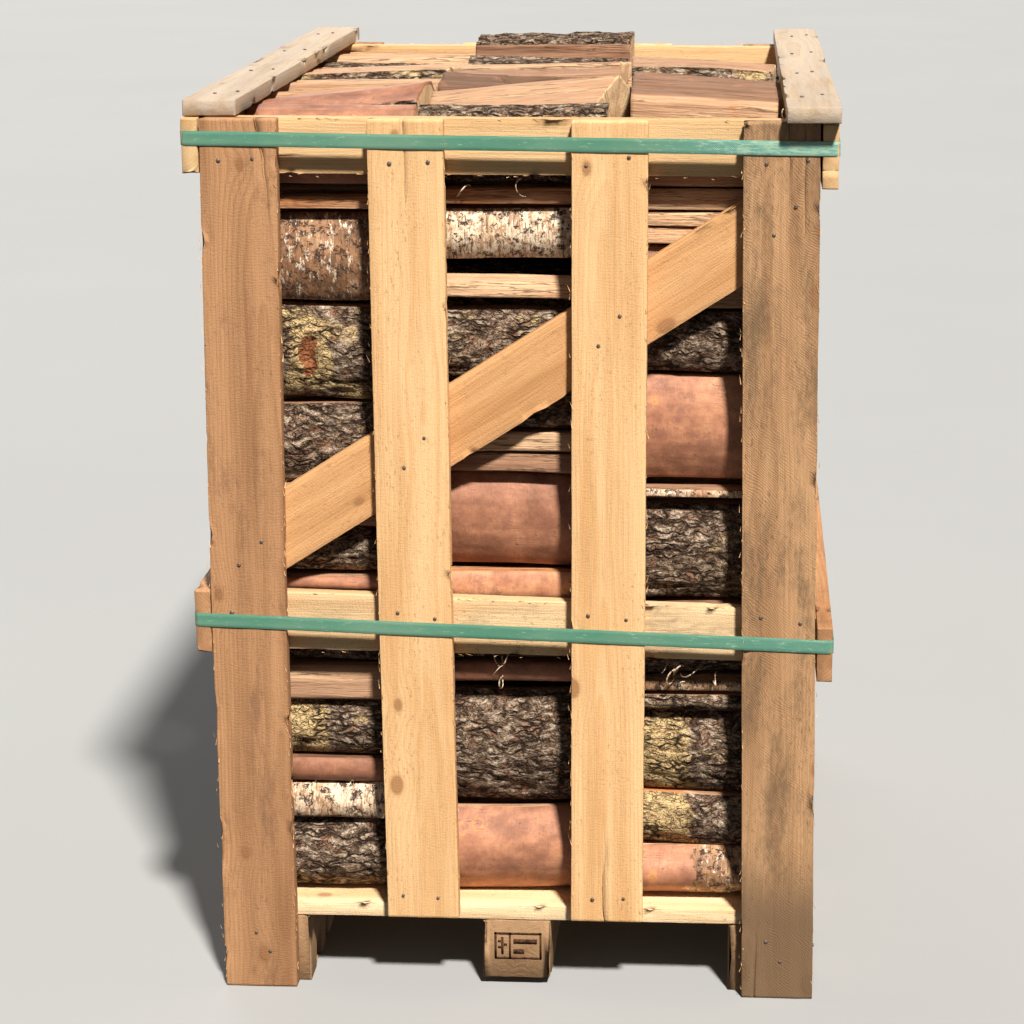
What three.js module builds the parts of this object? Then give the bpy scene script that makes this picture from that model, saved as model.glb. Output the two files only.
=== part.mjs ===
// Birch firewood in a slatted crate. Split logs of one length lie crosswise, end to end in three
// columns, on a deck of boards over three bearers. A front and a back panel of upright boards, two
// railed sides and two cap boards hold them, and two plastic bands go round the whole crate.
// Millimetres. The origin is the middle of the footprint on the ground, +Z is up, and the front
// panel faces -Y.
import * as THREE from "three";

// Crate
const crateDepth = 1000; // over the faces of the front and the back panel
const postTop = 1213; // top of every upright board
const boardThickness = 22; // every upright, rail, brace, cap and deck board
const waistHeight = 600; // where the uprights may bend a little
const slatFoot = 109; // the slats end above the ground, the posts stand on it
const touchGap = 0.3; // between sloped or turned pieces that meet

// Pallet base
const bearerHeight = 99;
const bearerWidth = 96;
const centreBearerLift = 11; // the middle bearer is waney and doesn't reach the ground
const deckCount = 5;
const deckWidth = 110;
const deckLeft = -387;
const deckRight = 386;

// Rails and braces of the front and back panels
const railLeft = -398;
const railRight = 396;
const topRailLow = 1139;
const middleRail = { lowLeft: 491, lowRight: 483, highLeft: 573, highRight: 557 };
const braceWidth = 95;
const braceSlope = 0.6475;
const braceMiddle = 859.5; // height of the brace's centre line halfway along the panel

// Side panels
const sideSlatWidth = 100;
const sideSlatCount = 4;
const sideSlatFoot = 15;
const middleRailZone = { low: 455, high: 600 }; // the side slats stand upright along the rails
const topRailZone = 1120; // and from here up

// Caps and bands
const capWidth = 70;
const capLift = 0.8; // the caps bear on the side rails, a little above the posts
const bandWidth = 19;
const bandThickness = 1;

// Firewood
const stackDepth = 904; // the logs lie behind the rails
const stackTop = 1120; // the lower logs end here, the top layer lies on them
const barkSteps = 7; // facets round the bark side of a split log

const halfDepth = crateDepth / 2;
const railFace = halfDepth - boardThickness;
const insideFace = railFace - boardThickness;

const materials = {
  freshPine: wood(0xe8c48a),
  agedPine: wood(0xb98a5c),
  greyPine: wood(0xb9a58c),
  bearerPine: wood(0xb08b5f),
  birchSplit: wood(0xc99a6c),
  birchBark: wood(0x4a3c33),
  greenBand: new THREE.MeshStandardMaterial({ color: 0x2f8a72, roughness: 0.35, metalness: 0 }),
};

function wood(color) {
  return new THREE.MeshStandardMaterial({ color, roughness: 0.85, metalness: 0 });
}

// A piece with its outline in the XZ plane and its thickness along +Y from yNear.
function boardFromOutline(name, outline, yNear, thickness, material) {
  const shape = new THREE.Shape(outline.map(([x, z]) => new THREE.Vector2(x, z)));
  const geometry = new THREE.ExtrudeGeometry(shape, { depth: thickness, bevelEnabled: false });
  geometry.rotateX(Math.PI / 2);
  geometry.translate(0, yNear + thickness, 0);
  const mesh = new THREE.Mesh(geometry, material);
  mesh.name = name;
  return mesh;
}

// A straight squared board between two opposite corners.
function squaredBoard(name, low, high, material) {
  const size = high.map((value, axis) => value - low[axis]);
  const geometry = new THREE.BoxGeometry(...size);
  geometry.translate(...low.map((value, axis) => value + size[axis] / 2));
  const mesh = new THREE.Mesh(geometry, material);
  mesh.name = name;
  return mesh;
}

// Four uprights of a panel: x of the centre line at the foot, the waist and the top.
const frontUprights = [
  { name: "post_left", foot: -358, waist: -357.5, top: -349, width: 101, low: 0 },
  { name: "slat_left", foot: -129.5, waist: -133, top: -134, width: 99, low: slatFoot },
  { name: "slat_right", foot: 123.5, waist: 126, top: 128.5, width: 99, low: slatFoot },
  { name: "post_right", foot: 359, waist: 352, top: 346.5, width: 99, low: 0 },
];
const backUprights = [
  { name: "post_left", foot: -358, waist: -357.5, top: -349, width: 101, low: 0 },
  { name: "slat_left", foot: -122, waist: -125, top: -119, width: 97, low: slatFoot },
  { name: "slat_right", foot: 133, waist: 129, top: 131, width: 101, low: slatFoot },
  { name: "post_right", foot: 359, waist: 352, top: 346.5, width: 99, low: 0 },
];

function uprightOutline({ foot, waist, top, width, low }) {
  const half = width / 2;
  const spine = [
    [foot, low],
    [waist, waistHeight],
    [top, postTop],
  ];
  const rightEdge = spine.map(([x, z]) => [x + half, z]);
  const leftEdge = spine.map(([x, z]) => [x - half, z]).reverse();
  return [...rightEdge, ...leftEdge];
}

// The brace fills the field between the rails: its ends are sawn to the rails and the posts.
function braceOutline() {
  const halfRise = braceWidth / 2 / Math.cos(Math.atan(braceSlope));
  const lowerEdge = (x) => braceMiddle - halfRise + braceSlope * x;
  const upperEdge = (x) => braceMiddle + halfRise + braceSlope * x;
  const sill = middleRail.highLeft + touchGap;
  const head = topRailLow - touchGap;
  return [
    [(sill - lowerEdge(0)) / braceSlope, sill],
    [railRight, lowerEdge(railRight)],
    [railRight, head],
    [(head - upperEdge(0)) / braceSlope, head],
    [railLeft, upperEdge(railLeft)],
    [railLeft, sill],
  ];
}

// One long side of the crate. side is -1 for the front, +1 for the back.
function panel(label, side, uprights, materialOf) {
  const group = new THREE.Group();
  const outerNear = side < 0 ? -halfDepth : railFace;
  const innerNear = side < 0 ? -railFace : insideFace;
  const add = (name, outline, yNear, material) =>
    group.add(boardFromOutline(`${label}_${name}`, outline, yNear, boardThickness, material));
  uprights.forEach((upright) =>
    add(upright.name, uprightOutline(upright), outerNear, materialOf(upright.name)),
  );
  const topRail = [
    [railLeft, topRailLow],
    [railRight, topRailLow],
    [railRight, postTop],
    [railLeft, postTop],
  ];
  const lowRail = [
    [railLeft, middleRail.lowLeft],
    [railRight, middleRail.lowRight],
    [railRight, middleRail.highRight],
    [railLeft, middleRail.highLeft],
  ];
  const mirrored = braceOutline().map(([x, z]) => [-x, z]);
  add("top_rail", topRail, innerNear, materials.freshPine);
  add("middle_rail", lowRail, innerNear, materials.freshPine);
  add("brace", side < 0 ? braceOutline() : mirrored.reverse(), innerNear, materials.freshPine);
  return group;
}

// The two sides: rails outside run front to back, slats inside them stand against the bearers.
// wall gives x of the slats' outer face at the foot, at the middle rail and at the top rail.
const sides = {
  left: {
    direction: -1,
    wall: { foot: -410, waist: -408.1, top: -400.7 },
    topRail: { face: -401, low: 1141, high: 1213.5 },
    middleRail: { face: -408.4, low: 491, high: 579 },
  },
  right: {
    direction: 1,
    wall: { foot: 410, waist: 403.3, top: 397.7 },
    topRail: { face: 398, low: 1127, high: 1211 },
    middleRail: { face: 403.6, low: 464, high: 541 },
  },
};

function sideRail(name, { face, low, high }, direction) {
  const outer = face + direction * boardThickness;
  const xs = [face, outer].sort((a, b) => a - b);
  const near = [xs[0], -halfDepth, low];
  const far = [xs[1], halfDepth, high];
  return squaredBoard(name, near, far, materials.freshPine);
}

function sideSlatOutline({ foot, waist, top }, direction) {
  const outerEdge = [
    [foot, sideSlatFoot],
    [waist, middleRailZone.low],
    [waist, middleRailZone.high],
    [top, topRailZone],
    [top, postTop],
  ];
  const innerEdge = outerEdge.map(([x, z]) => [x - direction * boardThickness, z]).reverse();
  const outline = [...outerEdge, ...innerEdge];
  return direction > 0 ? outline : outline.reverse();
}

function sidePanel(label, { direction, wall, topRail, middleRail: lowRail }) {
  const group = new THREE.Group();
  group.add(sideRail(`${label}_side_top_rail`, topRail, direction));
  group.add(sideRail(`${label}_side_middle_rail`, lowRail, direction));
  const pitch = (2 * insideFace - sideSlatWidth) / (sideSlatCount - 1);
  for (let i = 0; i < sideSlatCount; i++) {
    const name = `${label}_side_slat_${i + 1}`;
    const yNear = -insideFace + i * pitch;
    const outline = sideSlatOutline(wall, direction);
    group.add(boardFromOutline(name, outline, yNear, sideSlatWidth, materials.freshPine));
  }
  return group;
}

// Three bearers run front to back with deck boards across them.
function palletBase() {
  const group = new THREE.Group();
  const bearers = [
    { name: "bearer_left", left: deckLeft, low: 0 },
    { name: "bearer_centre", left: -51, low: centreBearerLift },
    { name: "bearer_right", left: deckRight - bearerWidth, low: 0 },
  ];
  bearers.forEach(({ name, left, low }) => {
    const near = [left, -railFace, low];
    const far = [left + bearerWidth, railFace, bearerHeight];
    group.add(squaredBoard(name, near, far, materials.bearerPine));
  });
  const pitch = (2 * railFace - deckWidth) / (deckCount - 1);
  for (let i = 0; i < deckCount; i++) {
    const front = -railFace + i * pitch;
    const near = [deckLeft, front, bearerHeight];
    const far = [deckRight, front + deckWidth, bearerHeight + boardThickness];
    group.add(squaredBoard(`deck_board_${i + 1}`, near, far, materials.freshPine));
  }
  return group;
}

// A cap board lies on the side rails and may stand out past the panels.
function capBoard(name, { frontX, backX, front, back }) {
  const length = back - front;
  const geometry = new THREE.BoxGeometry(capWidth, length, boardThickness);
  const mesh = new THREE.Mesh(geometry, materials.greyPine);
  mesh.name = name;
  mesh.rotation.z = -Math.atan2(backX - frontX, length);
  const height = postTop + capLift + boardThickness / 2;
  mesh.position.set((frontX + backX) / 2, (front + back) / 2, height);
  return mesh;
}

// A band is one flat loop pulled tight round the side rails and the panels' faces. It sags from
// one side of the crate to the other by slope.
function band(name, left, right, height, slope) {
  const outer = new THREE.Shape();
  outer.moveTo(left - bandThickness, -halfDepth - bandThickness);
  outer.lineTo(right + bandThickness, -halfDepth - bandThickness);
  outer.lineTo(right + bandThickness, halfDepth + bandThickness);
  outer.lineTo(left - bandThickness, halfDepth + bandThickness);
  const inner = new THREE.Path();
  inner.moveTo(left, -halfDepth);
  inner.lineTo(left, halfDepth);
  inner.lineTo(right, halfDepth);
  inner.lineTo(right, -halfDepth);
  outer.holes.push(inner);
  const geometry = new THREE.ExtrudeGeometry(outer, { depth: bandWidth, bevelEnabled: false });
  const lean = new THREE.Matrix4().set(1, 0, 0, 0, 0, 1, 0, 0, slope, 0, 1, height, 0, 0, 0, 1);
  geometry.applyMatrix4(lean);
  const mesh = new THREE.Mesh(geometry, materials.greenBand);
  mesh.name = name;
  return mesh;
}

// The three columns of logs: the lower layers are one block each, the size of the stack.
const columns = {
  left: { left: -376, right: -129.5 },
  centre: { left: -125, right: 122.5 },
  right: { left: 126.5, right: 374 },
};

function logStack(label) {
  const { left, right } = columns[label];
  const near = [left, -stackDepth / 2, bearerHeight + boardThickness + touchGap];
  const far = [right, stackDepth / 2, stackTop - touchGap];
  return squaredBoard(`log_stack_${label}`, near, far, materials.birchBark);
}

// The cross-section of a split log: two riven faces that meet at the heart, and a bark arc of
// sweep degrees. roll turns the bark from straight up towards the front. The section is drawn to
// fit a width and a height.
function splitOutline(sweep, roll, width, height) {
  const points = [new THREE.Vector2(0, 0)];
  for (let i = 0; i <= barkSteps; i++) {
    const angle = THREE.MathUtils.degToRad(90 - sweep / 2 + (sweep * i) / barkSteps - roll);
    points.push(new THREE.Vector2(Math.cos(angle), Math.sin(angle)));
  }
  const bounds = new THREE.Box2().setFromPoints(points);
  const size = bounds.getSize(new THREE.Vector2());
  const scale = new THREE.Vector2(width / size.x, height / size.y);
  return points.map((point) => point.sub(bounds.min).multiply(scale));
}

// A split log lies along X from one end to the other between two depths. Its top has a height
// before the log is tilted, which lifts its +X end.
function topLog(name, { ends, depths, top, sweep, roll, tilt = 0, material = "birchSplit" }) {
  const lean = THREE.MathUtils.degToRad(tilt);
  const thickness = top - stackTop - touchGap;
  const outline = splitOutline(sweep, -roll, depths[1] - depths[0], thickness);
  const length = (ends[1] - ends[0] - thickness * Math.sin(lean)) / Math.cos(lean);
  const shape = new THREE.Shape(outline);
  const geometry = new THREE.ExtrudeGeometry(shape, { depth: length, bevelEnabled: false });
  geometry.applyMatrix4(new THREE.Matrix4().set(0, 0, 1, 0, 1, 0, 0, 0, 0, 1, 0, 0, 0, 0, 0, 1));
  geometry.rotateY(-lean);
  geometry.computeBoundingBox();
  const { min } = geometry.boundingBox;
  const mesh = new THREE.Mesh(geometry, materials[material]);
  mesh.name = name;
  mesh.position.set(ends[0] - min.x, depths[0] - min.y, stackTop + touchGap - min.z);
  return mesh;
}

// The top layer, from front to back in each column.
const topLogs = {
  left: [
    { depths: [-450, -352], top: 1222, sweep: 130, roll: 40, ends: [-340, -129.5] },
    { depths: [-345, -222], top: 1211, sweep: 110, roll: 60, tilt: 7 },
    { depths: [-216, -112], top: 1209, sweep: 90, roll: 190, tilt: 4 },
    { depths: [-106, -22], top: 1210, sweep: 80, roll: 200, tilt: 3 },
    { depths: [-16, 138], top: 1212, sweep: 150, roll: 150, tilt: 3 },
    { depths: [144, 290], top: 1212, sweep: 100, roll: 20 },
    { depths: [296, 446], top: 1210, sweep: 120, roll: 170 },
  ],
  centre: [
    { depths: [-450, -372], top: 1226, sweep: 150, roll: 30, material: "birchBark" },
    { depths: [-366, -230], top: 1250, sweep: 95, roll: 185 },
    { depths: [-224, -84], top: 1236, sweep: 120, roll: 20 },
    { depths: [-78, 30], top: 1228, sweep: 90, roll: 170 },
    { depths: [36, 126], top: 1232, sweep: 100, roll: 200 },
    { depths: [132, 262], top: 1232, sweep: 150, roll: 0, material: "birchBark" },
    { depths: [268, 446], top: 1246, sweep: 200, roll: 10, material: "birchBark" },
  ],
  right: [
    { depths: [-448, -262], top: 1256, sweep: 100, roll: 40, ends: [151, 343] },
    { depths: [-256, -40], top: 1262, sweep: 140, roll: 130, ends: [140, 343] },
    { depths: [-34, 130], top: 1212, sweep: 100, roll: 180 },
    { depths: [136, 290], top: 1206, sweep: 130, roll: 10 },
    { depths: [296, 446], top: 1190, sweep: 110, roll: 180 },
  ],
};

function firewood() {
  const group = new THREE.Group();
  Object.keys(columns).forEach((label) => {
    group.add(logStack(label));
    const { left, right } = columns[label];
    topLogs[label].forEach((log, i) =>
      group.add(topLog(`top_log_${label}_${i + 1}`, { ends: [left, right], ...log })),
    );
  });
  return group;
}

const isPost = (name) => name.startsWith("post");
const uprightMaterial = (name) => (isPost(name) ? materials.agedPine : materials.freshPine);

const crate = new THREE.Group();
crate.add(palletBase());
crate.add(panel("front", -1, frontUprights, uprightMaterial));
crate.add(panel("back", 1, backUprights, uprightMaterial));
crate.add(sidePanel("left", sides.left));
crate.add(sidePanel("right", sides.right));
crate.add(capBoard("cap_left", { frontX: -388, backX: -379, front: -485, back: 525 }));
crate.add(capBoard("cap_right", { frontX: 386.5, backX: 381.5, front: -525, back: 528 }));
crate.add(band("band_upper", -423, 420, 1174, -0.0095));
crate.add(band("band_lower", -430.4, 425.6, 516.5, -0.029));
crate.add(firewood());

export default crate;
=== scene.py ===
# Birch firewood in a slatted pallet crate with two green straps. The file follows the crate as it
# is put together: pallet, panels, sides and caps, nails, firewood, straps, and the loose bits.
import math
import bpy
import numpy as np
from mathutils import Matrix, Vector


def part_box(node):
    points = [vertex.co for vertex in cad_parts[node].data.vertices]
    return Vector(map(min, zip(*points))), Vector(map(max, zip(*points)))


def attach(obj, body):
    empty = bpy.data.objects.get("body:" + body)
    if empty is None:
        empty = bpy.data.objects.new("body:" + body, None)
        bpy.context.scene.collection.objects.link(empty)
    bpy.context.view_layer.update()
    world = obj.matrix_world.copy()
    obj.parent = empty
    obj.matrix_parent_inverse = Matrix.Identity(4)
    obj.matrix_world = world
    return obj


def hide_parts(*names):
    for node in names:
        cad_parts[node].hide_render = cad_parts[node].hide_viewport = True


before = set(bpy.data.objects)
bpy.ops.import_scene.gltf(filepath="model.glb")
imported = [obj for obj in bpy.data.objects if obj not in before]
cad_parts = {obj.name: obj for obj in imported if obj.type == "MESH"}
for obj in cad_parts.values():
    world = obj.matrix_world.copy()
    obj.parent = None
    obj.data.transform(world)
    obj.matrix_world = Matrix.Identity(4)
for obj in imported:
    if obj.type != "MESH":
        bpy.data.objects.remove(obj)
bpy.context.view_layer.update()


# Studio: a plain pale floor that throws no light back, a strong lamp high in front on the right, a
# weak broad one behind, and a pale room for fill. The camera stands a little to the right of the
# front panel and looks down on it.
camera_lens = bpy.data.cameras.new("camera")
camera_lens.lens = 87.65
camera_lens.shift_x = -0.0977
camera_lens.shift_y = -0.0977
camera_lens.clip_end = 200
camera = bpy.data.objects.new("camera", camera_lens)
camera.location = (0.2914, -3.6528, 1.6217)
camera.rotation_euler = (math.radians(75.97), 0, math.radians(2.91))
bpy.context.scene.collection.objects.link(camera)
bpy.context.scene.camera = camera
bpy.context.scene.view_settings.view_transform = "Standard"

key_lamp = bpy.data.lights.new("key_lamp", "SUN")
key_lamp.energy = 7.5
key_lamp.angle = math.radians(5)
key_lamp.color = (1.0, 0.965, 0.91)
key = bpy.data.objects.new("key_lamp", key_lamp)
key.rotation_euler = Vector((0.24, -0.56, 0.80)).to_track_quat("Z", "Y").to_euler()
bpy.context.scene.collection.objects.link(key)
back_lamp = bpy.data.lights.new("back_lamp", "SUN")
back_lamp.energy = 1.5
back_lamp.angle = math.radians(40)
back = bpy.data.objects.new("back_lamp", back_lamp)
back.rotation_euler = Vector((-0.35, 0.88, 0.28)).to_track_quat("Z", "Y").to_euler()
bpy.context.scene.collection.objects.link(back)
room = bpy.data.worlds.new("room")
room.use_nodes = True
room.node_tree.nodes["Background"].inputs["Color"].default_value = (0.93, 0.96, 1.0, 1)
room.node_tree.nodes["Background"].inputs["Strength"].default_value = 0.15
bpy.context.scene.world = room


def node(tree, kind, inputs=None, **settings):
    """A shader or geometry node: inputs are values or the sockets that feed them."""
    made = tree.nodes.new(kind)
    for key_name, value in settings.items():
        setattr(made, key_name, value)
    for key_name, value in (inputs or {}).items():
        if isinstance(value, bpy.types.NodeSocket):
            tree.links.new(value, made.inputs[key_name])
        else:
            made.inputs[key_name].default_value = value
    return made


def shader(name, roughness, specular=0.3):
    """An empty material: its node tree and its surface shader."""
    material = bpy.data.materials.new(name)
    material.use_nodes = True
    surface = material.node_tree.nodes["Principled BSDF"]
    surface.inputs["Roughness"].default_value = roughness
    surface.inputs["Specular IOR Level"].default_value = specular
    return material, material.node_tree, surface


def blend(tree, share, first, second, mode="MIX"):
    mixer = node(tree, "ShaderNodeMix", {0: share}, data_type="RGBA", blend_type=mode)
    for index, colour in ((6, first), (7, second)):
        if isinstance(colour, bpy.types.NodeSocket):
            tree.links.new(colour, mixer.inputs[index])
        else:
            mixer.inputs[index].default_value = (*colour, 1)
    return mixer.outputs[2]


def cloud(tree, vector, scale, detail=3.0, rough=0.55):
    inputs = {"Vector": vector, "Scale": scale, "Detail": detail, "Roughness": rough}
    return node(tree, "ShaderNodeTexNoise", inputs).outputs["Fac"]


floor_finish, floor_tree, floor_surface = shader("floor_finish", 0.9, 0.1)
floor_cloud = cloud(floor_tree, node(floor_tree, "ShaderNodeTexCoord").outputs["Object"], 0.8)
floor_colour = blend(floor_tree, floor_cloud, (0.31, 0.31, 0.307), (0.335, 0.335, 0.332))
floor_tree.links.new(floor_colour, floor_surface.inputs["Base Color"])
floor_mesh = bpy.data.meshes.new("floor")
floor_reach = 60.0
floor_corners = [(-1, -1), (1, -1), (1, 1), (-1, 1)]
floor_mesh.from_pydata([(x * floor_reach, y * floor_reach, 0) for x, y in floor_corners], [], [(0, 1, 2, 3)])
floor_mesh.materials.append(floor_finish)
floor = bpy.data.objects.new("floor", floor_mesh)
bpy.context.scene.collection.objects.link(floor)
floor.visible_diffuse = False


# Sawn pine boards: every board of the crate is rough-sawn softwood, 22 mm thick, with slightly
# broken edges, end checks and nicks. Each is drawn along its grain from its own CAD outline.
def noise_at(points, seed):
    """Smooth noise from 0 to 1, one lattice cell per unit."""
    points = np.asarray(points, float)
    cell = np.floor(points).astype(np.int64)
    part = points - cell
    part = part * part * (3 - 2 * part)
    total = np.zeros(points.shape[:-1])
    for corner in range(8):
        step = np.array([corner & 1, corner >> 1 & 1, corner >> 2 & 1])
        code = (cell + step) @ np.array([73856093, 19349663, 83492791]) + seed * 7919
        code = (code ^ code >> 13) * 1274126177 % 4294967296
        weight = np.prod(np.where(step == 1, part, 1 - part), axis=-1)
        total += weight * ((code ^ code >> 15) % 65536) / 65535
    return total


def fractal_at(points, seed, octaves=4):
    points = np.asarray(points, float)
    return sum(noise_at(points * 2**k, seed + k) / 2 ** (k + 1) for k in range(octaves))


def wooden_piece(name, points, faces, finishes, finish_of_face, grain, tone):
    """A mesh object in the crate's frame that carries its grain coordinates and its tone."""
    mesh = bpy.data.meshes.new(name)
    mesh.from_pydata(points.tolist(), [], faces)
    for finish in finishes:
        mesh.materials.append(finish)
    if finish_of_face is not None:
        mesh.polygons.foreach_set("material_index", finish_of_face)
    grain_layer = mesh.attributes.new("grain", "FLOAT_VECTOR", "POINT")
    grain_layer.data.foreach_set("vector", np.asarray(grain, np.float32).ravel())
    tone_layer = mesh.attributes.new("tone", "FLOAT", "POINT")
    tone_layer.data.foreach_set("value", np.asarray(tone, np.float32))
    mesh.update()
    mesh.shade_smooth()
    piece = bpy.data.objects.new(name, mesh)
    bpy.context.scene.collection.objects.link(piece)
    return piece


def on_crate(piece, slot, *stands_for):
    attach(piece, "root")
    if stands_for:
        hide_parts(*stands_for)


board_step = 0.010
broken_edge = 0.0014
pine_rng = np.random.default_rng(41)


def outline_along(points):
    """At each level of a board's length: the lowest and highest corner across it."""
    order = np.argsort(points[:, 0])
    points = points[order]
    gap = 0.02 * np.ptp(points[:, 0])
    levels = np.split(points, np.flatnonzero(np.diff(points[:, 0]) > gap) + 1)
    marks = np.array([level[:, 0].mean() for level in levels])
    marks[0], marks[-1] = points[0, 0], points[-1, 0]
    lows = np.array([level[:, 1:].min(0) for level in levels])
    highs = np.array([level[:, 1:].max(0) for level in levels])
    return marks, lows, highs


def chords(points, across):
    """Where a slanted board starts and ends along its length, at each place across it."""
    plane = points[:, :2]
    middle = plane.mean(0)
    order = np.argsort(np.arctan2(*(plane - middle).T[::-1]))
    ring = plane[order]
    starts, ends = np.full(len(across), np.inf), np.full(len(across), -np.inf)
    for a, b in zip(ring, np.roll(ring, -1, axis=0)):
        if abs(b[1] - a[1]) < 1e-7:
            continue
        share = (across - a[1]) / (b[1] - a[1])
        inside = (share >= -1e-6) & (share <= 1 + 1e-6)
        along = a[0] + share * (b[0] - a[0])
        starts = np.where(inside & (along < starts), along, starts)
        ends = np.where(inside & (along > ends), along, ends)
    return starts, ends


def section_of(width, thickness, cracks):
    """The points round a board's cross-section as shares of its width and thickness, and the
    direction that each faces."""
    edge_u, edge_n = broken_edge / width, broken_edge / thickness
    columns = list(np.linspace(edge_u, 1 - edge_u, max(4, round(width / board_step))))
    for place, opening in cracks:
        columns = [u for u in columns if abs(u - place) > 1.4 * opening / width]
        columns += [place - opening / width, place, place + opening / width]
    columns = sorted(columns)
    sides = [edge_n, 0.5, 1 - edge_n]
    corner_u, corner_n = 0.3 * edge_u, 0.3 * edge_n
    ring = [(u, 0, 0, -1) for u in columns]
    ring += [(1 - corner_u, corner_n, 0.7, -0.7)]
    ring += [(1, n, 1, 0) for n in sides]
    ring += [(1 - corner_u, 1 - corner_n, 0.7, 0.7)]
    ring += [(u, 1, 0, 1) for u in reversed(columns)]
    ring += [(corner_u, 1 - corner_n, -0.7, 0.7)]
    ring += [(0, n, -1, 0) for n in reversed(sides)]
    ring += [(corner_u, corner_n, -0.7, -0.7)]
    return np.array(ring), len(columns), len(sides)


def ring_faces(rows, around):
    """Quads between the rings of a lofted body, each ring with the same number of points."""
    row, place = np.meshgrid(np.arange(rows - 1), np.arange(around), indexing="ij")
    after = (place + 1) % around
    quads = np.stack([row * around + place, row * around + after], -1)
    quads = np.stack([*np.moveaxis(quads, -1, 0), (row + 1) * around + after, (row + 1) * around + place], -1)
    return quads.reshape(-1, 4).tolist()


def board_ends(rows, around, columns, sides):
    """The two sawn ends: quads from the lower to the upper face, and a strip at each edge."""
    faces = []
    for base, flip in ((0, True), ((rows - 1) * around, False)):
        top = columns + 1 + sides + 1
        lower = list(range(columns))
        upper = list(range(top + columns - 1, top - 1, -1))
        made = [[lower[i], lower[i + 1], upper[i + 1], upper[i]] for i in range(columns - 1)]
        made.append(list(range(columns - 1, top + 1)))
        made.append([upper[0], *range(top + columns, around), 0])
        for face in made:
            face = [base + index for index in face]
            faces.append(face[::-1] if flip else face)
    return faces


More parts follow.
